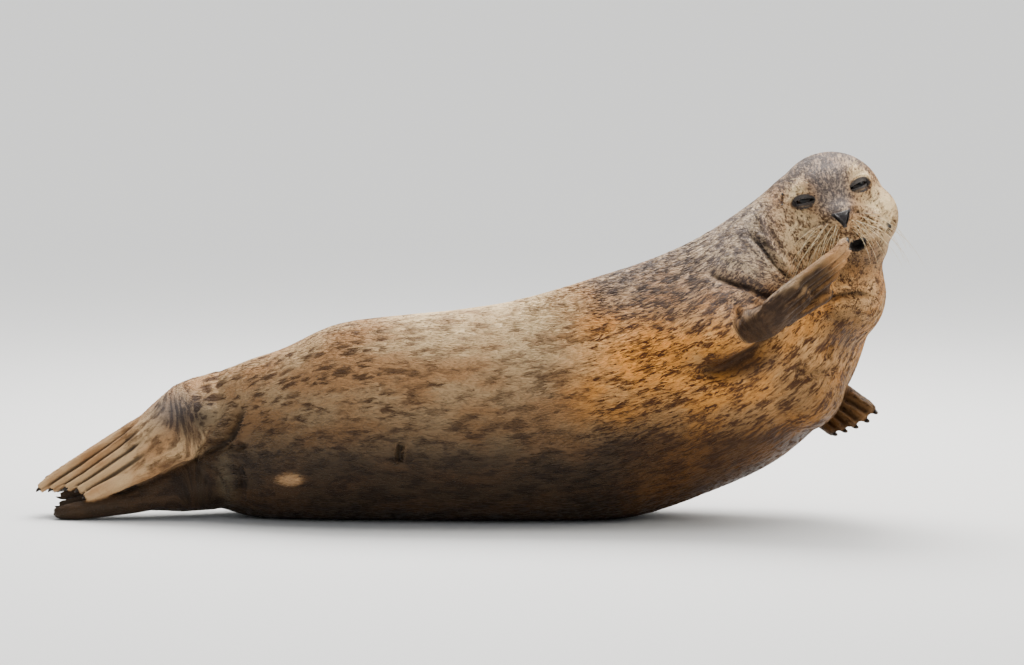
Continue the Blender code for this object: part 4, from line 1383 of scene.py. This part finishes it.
# %% The group that colours the coat
# the wet colours darken wet hair and painted shade alike
COAT_COLOURS = {
    "Brown": rgba(88, 62, 40), "Tan": rgba(172, 130, 88),
    "Gold": rgba(248, 170, 78), "Gold Shade": rgba(90, 52, 24), "Cream": rgba(252, 228, 180),
    "Grey": rgba(168, 158, 152), "Grey Shade": rgba(100, 90, 86),
    "Wet": rgba(27, 13, 2), "Wet Gold": rgba(70, 40, 10), "Bare": rgba(80, 75, 72)}
WHITE = (1.0, 1.0, 1.0)
SEAL_COAT, wires, come, go = new_group(
    "seal_coat",
    {"Lie": "", "Zones": "", "Marks": "", "Hollows": "", "Blade": "", **COAT_COLOURS, "Streaks": 1.0},
    {"Color": tuple, "Roughness": float, "Wetness": float, "Height": float})
golden_zone, wet_and_shade_zone, cream_and_sheen_zone = wires.parts(come["Zones"])
grey_mark, tan_mark, bare_mark = wires.parts(come["Marks"])
crease, freckle, ring_zone = wires.parts(come["Hollows"])
tone, toward_tip, shag_mark = wires.parts(come["Blade"])
fur = use_group(wires, LYING_FUR, Lie=come["Lie"])
mottle = use_group(wires, MOTTLING, Lie=come["Lie"])
broad = use_group(wires, MOTTLING, Lie=come["Lie"], Blotch_Length=0.11, Blotch_Width=0.06,
                  Spot_Length=0.007, Spot_Width=0.0045)

# The two colours of the hair here, before it is said how much of each shows.
cream_and_sheen_share = wires.math("MULTIPLY", cream_and_sheen_zone, wires.step(mottle["Blotches"], 0.0, 0.7, 0.45, 1.0))
pale = wires.mix(golden_zone, come["Tan"], come["Gold"])
pale = wires.mix(cream_and_sheen_share, pale, come["Cream"])
pale = wires.mix(wires.math("MULTIPLY", broad["Blotches"], 0.25), pale, come["Cream"])
pale = wires.mix(grey_mark, pale, wires.mix(0.55, pale, come["Grey"]))
dark = wires.mix(golden_zone, come["Brown"], come["Gold Shade"])
dark = wires.mix(grey_mark, dark, come["Grey Shade"])

# Locks, mottling and zones add up to the share of pale hair.
lock_share = wires.plus(0.5, shag_mark, wires.math("SUBTRACT", fur["Locks"], 0.5))
pale_share = wires.math("MULTIPLY", mottle["Blotches"], 0.58)
LIGHTENING = (
    # weight, and the fields that are multiplied by it
    (0.70, lock_share),                                                # whole locks
    (-0.02, mottle["Spots"]), (-0.20, mottle["Spots"], shag_mark),     # spots, plainer in shaggy hair
    (-0.42, broad["Spots"], shag_mark),                                # small spots, only there
    (0.60, mottle["Rings"], ring_zone), (-0.20, ring_zone),            # pale rings on a darker ground
    (0.36, cream_and_sheen_zone), (0.46, tan_mark), (-0.30, grey_mark),
    (0.34, tone, shag_mark), (0.16, toward_tip),                       # single blades, and their tips
)
for weight, *fields in LIGHTENING:
    pale_share = wires.plus(pale_share, weight, *fields)
colour = wires.mix(wires.step(pale_share, 0.12, 0.86), dark, pale)
colour = wires.mix(wires.step(bare_mark, 0.25, 0.85), colour, come["Bare"])

# Single hairs, the hollows of folds and the whiskers' dimples shade it.
streak = wires.plus(-0.20, 0.40, fur["Hairs"])
shading = wires.plus(1.0, streak, come["Streaks"], shag_mark)
# painted shade in the hollows of folds, slits, the mouth and the grooves between digits
shading = wires.math("MULTIPLY", shading, wires.step(crease, 0.0, 1.0, 1.0, 0.30))
shading = wires.math("MULTIPLY", shading, wires.step(freckle, 0.1, 1.0, 1.0, 0.42))
grain = wires.add("ShaderNodeCombineColor", (shading, shading, shading))
colour = wires.mix(1.0, colour, grain, "MULTIPLY")

# Wet hair is darker, and smoother. The same field also paints shade, darker and smoother in the same way.
# wet hair and painted shade darken together here
wet_and_shade_edge = wires.plus(wet_and_shade_zone, 0.08, wires.math("SUBTRACT", broad["Blotches"], 0.5))
wetness_and_shade = wires.add("ShaderNodeMapRange", (wet_and_shade_edge, 0.05, 1.0, 0.0, 1.0))
wet_and_shaded_colour = wires.mix(1.0, colour, wires.mix(0.12, come["Wet"], WHITE), "MULTIPLY")
wet_and_shaded_colour = wires.mix(0.60, wet_and_shaded_colour, wires.mix(golden_zone, come["Wet"], come["Wet Gold"]))
colour = wires.mix(wetness_and_shade, colour, wet_and_shaded_colour)
roughness = wires.plus(0.66, -0.24, wetness_and_shade)
roughness = wires.plus(roughness, 0.08, fur["Hairs"])
roughness = wires.plus(roughness, -0.20, bare_mark)
wires.fill(go, {"Color": colour, "Roughness": roughness, "Wetness": wetness_and_shade, "Height": fur["Height"]})
print("the groups are", [group.name for group in bpy.data.node_groups])

# %% [markdown]
# ## The coat's materials
#
# Skin and tufts share the group. They differ in how strongly the hairs are drawn and in the height of the
# bump, since the tufts already stand up by themselves. Wet hair, and the painted shade that shares its field,
# gets a thin clear coat.

# %% Make the coat's materials
def coat_material(name, bump, streaks):
    """Skin or hair with the coat's markings, and a bump of lying hair."""
    made, shader = plain_material(name, (0.4, 0.3, 0.2), 0.6)
    wiring = Wiring(made.node_tree)
    fields = {label.title(): wiring.field(label) for label in COAT_FIELDS}
    coat = use_group(wiring, SEAL_COAT, Streaks=streaks, **fields)
    lying = wiring.add("ShaderNodeBump", {"Height": coat["Height"], "Strength": 1.0, "Distance": bump})
    wiring.fill(shader, {
        "Base Color": coat["Color"], "Roughness": coat["Roughness"], "Normal": lying,
        "Coat Weight": wiring.math("MULTIPLY", coat["Wetness"], 0.04), "Coat Roughness": 0.28,
        "Specular IOR Level": 0.15, "Sheen Weight": 0.04, "Sheen Roughness": 0.45})
    return made


skin_finish = coat_material("skin_finish", 0.0009, 1.0)
hair_finish = coat_material("hair_finish", 0.0004, 0.7)
print("the coat's materials are", skin_finish.name, "and", hair_finish.name)

# %% [markdown]
# ## The skin as a piece
#
# The sculpted skin now takes its finish, and stands for all the flesh nodes of the frame at once. Like every
# later piece, it rides on the seal's one body and hides the nodes it replaces.

# %% Place the skin
def seal_piece(name, mesh, material, nodes):
    """A piece that rides on the seal's one body and takes the place of these nodes of the frame."""
    piece = add_piece(name, mesh, material)
    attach(piece, "root")
    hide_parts(*nodes)


skin_mesh.polygons.foreach_set("use_smooth", np.ones(len(skin_mesh.polygons), bool))
skin_mesh.update()
seal_piece("skin", skin_mesh, skin_finish, FLESH)
print("the skin has", len(skin_mesh.polygons), "faces")

# %% [markdown]
# ## Tufts of hair
#
# Seal hair is short and stiff, and lies flat in small pointed locks. Bump alone would leave the outline as
# smooth as rubber, so real blades are planted all over: thin, closed, three-sided slivers that follow the lie
# of the coat and overlap like shingles. They are longest on the flanks, and tiny on the face and the
# flippers. Each blade keeps the attributes of its root, so it has the skin's own markings, and its place in
# the texture map is a small patch at its root's place on the unwrapped skin.

# %% Shape one blade
FLOOR_GAP = 0.0003  # no blade's point is lower than this
ROOT_DEPTH, ROOT_WIDTH = 0.0005, 0.6  # how deep their roots are, and their width's share there
KNEE_AT, KNEE_RISE = 0.45, 0.8  # where a blade bends, and its share of the lift there
ROUND = 0.42  # a blade's height over its half width
BLADE_POINTS = 7  # three at the root, three at the knee and the tip
BLADE_FACES = np.array([[0, 1, 2], [0, 3, 4], [0, 4, 1], [1, 4, 5], [1, 5, 2], [2, 5, 3], [2, 3, 0],
                        [3, 6, 4], [4, 6, 5], [5, 6, 3]])
BLADE_UV = np.array([(0, -0.35), (0, 0.35), (0, 0), (0.5, -0.5), (0.5, 0.5), (0.5, 0), (1, 0)])
TOWARD_TIP = (0, 0, 0, 0.5, 0.5, 0.5, 1.0)


def blade_points(root, up, way, across, reach, wide, lift, drift):
    """The seven points of each blade."""
    high = wide * ROUND
    foot = root - up * ROOT_DEPTH
    knee = root + way * reach * KNEE_AT + up * lift * KNEE_RISE
    tip = root + way * reach + up * lift + across * drift * reach
    points = np.stack([foot - across * wide * ROOT_WIDTH, foot + across * wide * ROOT_WIDTH,
                       foot + up * (high + ROOT_DEPTH),
                       knee - across * wide - up * high, knee + across * wide - up * high, knee + up * high,
                       tip], 1)
    points[..., 2] = np.maximum(points[..., 2], FLOOR_GAP)
    return points.reshape(-1, 3)


print("a blade has", BLADE_POINTS, "points and", len(BLADE_FACES), "faces")

# %% [markdown]
# ## Planting a coat
#
# A coat is grown in one go, as arrays with a row for every blade. Each blade gets a triangle of the skin by
# chance, the larger and hairier ones more often, and a point inside it. From there it lies along the coat,
# swings a little, and is shorter in a fold and flatter where it is wet and where the wet field paints shade.

# %% Write the function that grows a coat
UV_PATCH = 0.003  # how much of the texture map one blade spans
SWING = 0.16  # how far blades turn from the lie of the coat, in radians
TIP_DRIFT = 0.10  # how far their tips stray sideways, for each metre of blade
TONE_SPREAD = 0.55  # how much their tones differ

rng = np.random.default_rng(20)
skin_mesh.calc_loop_triangles()
corners = np.empty(len(skin_mesh.loop_triangles) * 3, np.int32)
skin_mesh.loop_triangles.foreach_get("vertices", corners)
corners = corners.reshape(-1, 3)
edge_one = skin[corners[:, 1]] - skin[corners[:, 0]]
edge_two = skin[corners[:, 2]] - skin[corners[:, 0]]
corner_area = np.linalg.norm(np.cross(edge_one, edge_two), axis=1) / 2
no_hair = most(bare * 1.6, marks["freckle"] * 0.8, marks["thin"] * 0.85, crease_shade * 0.55)


def grow(name, share, nodes, count, length, width, lift):
    """Plants blades where share is above 0. Length, width and lift are each a least and a most."""
    weight = corner_area * (share * (1 - no_hair))[corners].mean(axis=1)
    rows = rng.choice(len(corners), count, p=weight / weight.sum())
    mix = rng.dirichlet((1, 1, 1), count)

    def rooted(values):
        """Values at the blades' roots, mixed from the corners of their triangles."""
        return np.einsum("ij,ij...->i...", mix, values[corners[rows]])

    up = unit(rooted(normals))
    way = rooted(flow)
    way = unit(way - up * (way * up).sum(axis=1)[:, None])
    swing = rng.normal(0, SWING, count)[:, None]
    way = way * np.cos(swing) + np.cross(up, way) * np.sin(swing)
    reach = (rng.uniform(*length, count) * (1 - 0.5 * rooted(crease_shade)))[:, None]
    wide = rng.uniform(*width, count)[:, None] / 2
    raise_by = rng.uniform(*lift, count)[:, None] * (1 - 0.6 * rooted(wet_and_shade))[:, None]
    drift = rng.normal(0, TIP_DRIFT, count)[:, None]
    points = blade_points(rooted(skin), up, way, np.cross(up, way), reach, wide, raise_by, drift)
    faces = (np.arange(count)[:, None, None] * BLADE_POINTS + BLADE_FACES[None]).reshape(-1, 3)
    mesh = mesh_from(name, points, faces)
    tone = np.clip(rng.normal(0, TONE_SPREAD, count), -1, 1)
    for label, values in COAT_FIELDS.items():
        repeated = np.repeat(rooted(values), BLADE_POINTS, axis=0)
        if label == "blade":
            repeated[:, 0] = np.repeat(tone, BLADE_POINTS)
            repeated[:, 1] = np.tile(TOWARD_TIP, count)
        keep_field(mesh, label, repeated)
    place = np.clip(unwrap[corners[rows, 0]], 0.002, 0.994)
    flat = (place[:, None] + BLADE_UV[None] * UV_PATCH).reshape(-1, 2)
    uv = mesh.uv_layers.new(name="OFBake")
    uv.data.foreach_set("uv", flat[faces.ravel()].astype(np.float32).ravel())
    seal_piece(name, mesh, hair_finish, nodes)
    print(name, "has", count, "tufts")


print("the bald places cover", int((no_hair > 0.5).sum()), "points of the skin")

# %% Grow the six coats
open_skin = (1 - limb) * (1 - face)
dry_and_unshaded = 1 - 0.75 * wet_and_shade
past_flank, past_shoulder, past_rump = ramp(x, 0.08, 0.16), ramp(x, 0.36, 0.46), ramp(x, -0.22, -0.14)
COATS = (
    # name, where it grows, nodes, blades, and the ranges of length, width and lift
    ("fur_head", face * (1 - limb), ("head",),
     19500, (0.0030, 0.0055), (0.0008, 0.0015), (0.0001, 0.0005)),
    ("fur_neck", open_skin * past_shoulder * dry_and_unshaded, ("neck", "head"),
     19500, (0.0055, 0.0095), (0.0013, 0.0025), (0.0001, 0.0006)),
    ("fur_shoulder", open_skin * past_flank * (1 - past_shoulder) * dry_and_unshaded, ("chest",),
     19000, (0.0110, 0.0200), (0.0018, 0.0036), (0.0005, 0.0018)),
    ("fur_flank", open_skin * (1 - past_flank) * past_rump * dry_and_unshaded, ("belly",),
     17000, (0.0110, 0.0190), (0.0020, 0.0036), (0.0001, 0.0007)),
    ("fur_rump", open_skin * (1 - past_rump) * dry_and_unshaded, ("rump", "tail"),
     15000, (0.0090, 0.0150), (0.0018, 0.0032), (0.0001, 0.0007)),
    ("fur_flippers", limb, tuple(WRISTS),
     17000, (0.0030, 0.0055), (0.0008, 0.0014), (0.0001, 0.0004)),
)
for row in COATS:
    grow(*row)

# %% [markdown]
# ## Eyes
#
# A seal's eye is a big dark ball: at rest in daylight only a slit of it shows, wet and nearly black, with a
# brown iris. The ball is built ring by ring round the way it gazes, with the clear front standing a little
# proud, and each point remembers its angle from that way, which colours pupil, iris and white.

# %% Build the eyes
EYE_RINGS, EYE_SIDES = 39, 64
EYE_SINK = 0.0002  # how far the white of the ball is inside the frame's
CLEAR_RISE, CLEAR_SPREAD = 0.0005, 0.42  # how far the clear front stands out, and how wide it is in radians
PUPIL_EDGE, IRIS_EDGE = (0.30, 0.36), (0.74, 0.84)  # in radians from the way it gazes


def eye_ball(hand):
    centre, outward, upward, gaze = eye_frame(hand)
    angles = np.linspace(0, math.pi, EYE_RINGS + 2)[1:-1]
    white = EYE_RADIUS - EYE_SINK
    radius = white + CLEAR_RISE * bell(angles, CLEAR_SPREAD)
    turns = ring_turns(EYE_SIDES)[:, None]
    ring = np.cos(turns) * outward + np.sin(turns) * upward
    points = (centre + gaze * (radius * np.cos(angles))[:, None, None]
              + ring[None] * (radius * np.sin(angles))[:, None, None]).reshape(-1, 3)
    points = np.vstack([points, centre + gaze * (white + CLEAR_RISE), centre - gaze * white])
    quads, ends = ring_faces(EYE_RINGS, EYE_SIDES)
    mesh = mesh_from("eye_ball", points, [quads[:, [0, 3, 2, 1]], ends[:, [1, 0, 2]]])
    keep_rings(mesh, "iris", angles, (0, math.pi), EYE_SIDES)
    return mesh


eye_finish, eye_shader = plain_material("eye_finish", (0.02, 0.012, 0.008), 0.05)
wires = Wiring(eye_finish.node_tree)
iris_field = wires.field("iris")
from_gaze = wires.parts(iris_field)[0]
fibres = wires.noise(wires.cell(iris_field, 0.9, 0.12), 3.0, 0.6)
eye_colour = wires.mix(wires.step(fibres, 0.35, 0.7), srgb(12, 8, 6), srgb(34, 22, 14))
eye_colour = wires.mix(wires.step(from_gaze, *PUPIL_EDGE), srgb(7, 6, 7), eye_colour)
eye_colour = wires.mix(wires.step(from_gaze, *IRIS_EDGE), eye_colour, srgb(16, 12, 11))
wires.fill(eye_shader, {
    "Base Color": eye_colour, "Roughness": wires.step(fibres, 0.2, 0.9, 0.04, 0.09),
    "Specular IOR Level": 0.14, "Coat Weight": 0.05, "Coat Roughness": 0.03})
for side_name, hand in (("right", -1), ("left", 1)):
    seal_piece(f"eye_ball_{side_name}", eye_ball(hand), eye_finish, (f"eye_{side_name}",))
print("the eyes are", round(EYE_RADIUS * 2000, 1), "mm across")

# %% [markdown]
# ## Claws
#
# Five horn claws grow from each flipper. A claw is a bent, tapering cone, oval in section, dark at its root
# and worn paler at its tip, with fine lengthwise growth lines.

# %% Build the claws
CLAW_RINGS, CLAW_SIDES = 15, 18
CLAW_SHARE = {"fore": 0.62, "hind": 0.9}      # how much of the frame's claw is not worn away
CLAW_ROOT = {"fore": 0.0036, "hind": 0.0030}  # half its width at the root
CLAW_BEND = 0.10  # how far it bows, for each metre of its length
CLAW_HIDDEN = 0.22  # the share of its length that is inside the digit
CLAW_TALL = 1.25  # its height over its width


def claw_mesh(flipper, number):
    kind = flipper.name[:4]
    base, tip = flipper.claw_lines[number]
    tip = base + (tip - base) * CLAW_SHARE[kind]
    bend = flipper.palm * np.linalg.norm(tip - base) * CLAW_BEND
    share = np.linspace(-CLAW_HIDDEN, 1, CLAW_RINGS)
    path = base + (tip - base) * share[:, None] - bend * (4 * share * (1 - share))[:, None]
    radii = CLAW_ROOT[kind] * np.sqrt(np.maximum(1 - np.clip(share, 0, 1) ** 1.5, 0.004))
    points, quads, ends = tube_arrays(path, radii, CLAW_SIDES, flat=CLAW_TALL, wide_way=flipper.palm)
    points = curled(points) if flipper is raised else points
    mesh = mesh_from("claw", points, [quads, ends])
    keep_rings(mesh, "grain", share, (share[0], share[-1]), CLAW_SIDES)
    return mesh


claw_finish, claw_shader = plain_material("claw_finish", (0.05, 0.04, 0.035), 0.32)
wires = Wiring(claw_finish.node_tree)
grain_field = wires.field("grain")
toward_claw_tip = wires.parts(grain_field)[0]
growth = wires.noise(wires.cell(grain_field, 0.9, 0.16), 3.0, 0.6)
horn = wires.mix(wires.step(growth, 0.3, 0.75), srgb(22, 19, 18), srgb(56, 49, 43))
horn = wires.mix(wires.step(toward_claw_tip, 0.55, 1.05), horn, srgb(92, 80, 68))
wires.fill(claw_shader, {
    "Base Color": horn, "Roughness": wires.step(growth, 0.2, 0.8, 0.24, 0.42), "Specular IOR Level": 0.16,
    "Normal": wires.add("ShaderNodeBump", {"Height": growth, "Distance": 0.0002})})
for flipper in flippers:
    for number, claw in enumerate(flipper.claws):
        seal_piece(claw.replace("claw", "horn"), claw_mesh(flipper, number), claw_finish, (claw,))
print("placed", len(flippers) * DIGITS, "claws")

# %% [markdown]
# ## Whiskers
#
# The whiskers are the seal's finest tool, and its palest hairs. Each one leaves its dimple outwards, then
# droops under its own weight and fines away to nothing. The long ones grow at the back of the pad. A few
# more stand over each eye.

# %% Grow the whiskers
WHISKER_RADIUS, WHISKER_TAPER = 0.00055, 0.82  # at the root, and the share of it lost by the tip
WHISKER_POINTS, WHISKER_SIDES = 12, 6
WHISKER_ROOT = 0.002  # how deep the root is in the pad
BROW_WHISKER = 0.030  # the least length of those over the eyes
BROW_SPOTS = ((0.036, 0.060), (0.043, 0.064), (0.050, 0.065), (0.057, 0.061))  # sideways and up
whisker_rng = np.random.default_rng(5)
down = np.array((0.0, 0.0, -1.0))


def whisker(root, way, length, droop):
    """Points and faces of one whisker."""
    t = np.linspace(0, 1, WHISKER_POINTS)[:, None]
    path = root - way * WHISKER_ROOT + way * length * t * (1 - 0.25 * t * droop)
    path = path + down * length * droop * 0.62 * t ** 2
    radii = WHISKER_RADIUS * (1 - WHISKER_TAPER * t[:, 0] ** 1.2)
    return tube_arrays(path, radii, WHISKER_SIDES)


def head_way(sideways, forward, up, stray):
    """A direction on the head, with a little chance in it."""
    return unit(np.array(SIDE * sideways + AHEAD * forward + RISE * up) + whisker_rng.normal(0, stray, 3))


grown = []
for hand, row, column, root in whisker_roots:
    if (row + column) % 2:
        continue
    length = 0.036 + 0.0092 * column + 0.0035 * row + whisker_rng.uniform(-0.006, 0.010)
    fan = 0.42 + 0.15 * column + whisker_rng.normal(0, 0.07)
    way = head_way(hand * fan, 0.70 - 0.085 * column, -(0.20 + 0.10 * row), 0.05)
    grown.append(whisker(root, way, length, whisker_rng.uniform(0.75, 1.25)))
for hand in (-1, 1):
    for sideways, up in BROW_SPOTS:
        way = head_way(hand * 0.55, 0.5, 0.75, 0.08)
        length = BROW_WHISKER + whisker_rng.uniform(0, 0.012)
        grown.append(whisker(front_point(hand * sideways, up), way, length, 0.5))
points, quads, ends = zip(*grown)
firsts = np.cumsum([0] + [len(each) for each in points[:-1]])
faces = [np.concatenate([each + first for each, first in zip(kind, firsts)]) for kind in (quads, ends)]
whisker_mesh = mesh_from("whiskers", np.vstack(points), faces)

whisker_finish, whisker_shader = plain_material("whisker_finish", srgb(226, 204, 160), 0.35)
wires = Wiring(whisker_finish.node_tree)
tint = wires.noise(wires.add("ShaderNodeTexCoord", (), 3), 2.0, 0.5, 0.0, 160.0)
wires.fill(whisker_shader, {
    "Base Color": wires.mix(wires.step(tint, 0.35, 0.7), srgb(236, 220, 182), srgb(196, 160, 108)),
    "Roughness": wires.step(tint, 0.3, 0.7, 0.28, 0.42)})
seal_piece("whiskers", whisker_mesh, whisker_finish, ("head",))
print("grew", len(grown), "whiskers")

# %% [markdown]
# ## Leather of the nose
#
# Between the nostrils the skin is bare, dark and pebbled like fine leather. It is a thin shell over the
# sculpted nose, so that its own finish ends in a clean edge against the hair.

# %% Lay the leather on the nose
LEATHER_EDGE = 0.55  # how far out of the nose's triangle the shell reaches
LEATHER_RISE, LEATHER_SINK = 0.00045, 0.0001  # how far its middle stands out, and how far its rim goes in
LEATHER_THICK = 0.0012

away = nose_reach()
shell = bmesh.new()
shell.from_mesh(skin_mesh)
outside = [part for part in shell.faces if any(away[corner.index] >= LEATHER_EDGE for corner in part.verts)]
bmesh.ops.delete(shell, geom=outside, context="FACES")
shell.normal_update()
for vertex in shell.verts:
    rise = 0.0 if vertex.is_boundary else LEATHER_RISE
    vertex.co += vertex.normal * (rise - LEATHER_SINK)
bmesh.ops.solidify(shell, geom=list(shell.faces), thickness=LEATHER_THICK)
bmesh.ops.recalc_face_normals(shell, faces=list(shell.faces))
leather_mesh = bpy.data.meshes.new("nose_leather")
shell.to_mesh(leather_mesh)
shell.free()
leather_mesh.polygons.foreach_set("use_smooth", np.ones(len(leather_mesh.polygons), bool))
for name in COAT_FIELDS:
    leather_mesh.attributes.remove(leather_mesh.attributes[name])

nose_finish, nose_shader = plain_material("nose_finish", srgb(60, 55, 56), 0.4)
wires = Wiring(nose_finish.node_tree)
place = wires.add("ShaderNodeTexCoord", (), 3)
pebbles = wires.add("ShaderNodeTexVoronoi", {"Vector": place, "Scale": 900.0}, 0, feature="SMOOTH_F1")
clouds = wires.noise(place, 3.0, 0.5, 0.0, 180.0)
nose_colour = wires.mix(wires.step(clouds, 0.3, 0.7), srgb(31, 28, 29), srgb(56, 50, 50))
nose_colour = wires.mix(wires.step(pebbles, 0.35, 0.75, 0.0, 0.5), nose_colour, srgb(24, 22, 23))
wires.fill(nose_shader, {
    "Base Color": nose_colour, "Roughness": wires.step(clouds, 0.3, 0.7, 0.28, 0.50),
    "Specular IOR Level": 0.25,
    "Normal": wires.add("ShaderNodeBump", {"Height": pebbles, "Distance": 0.0003}, 0, invert=True)})
seal_piece("nose_leather", leather_mesh, nose_finish, ("head",))
print("the nose leather has", len(leather_mesh.polygons), "faces")
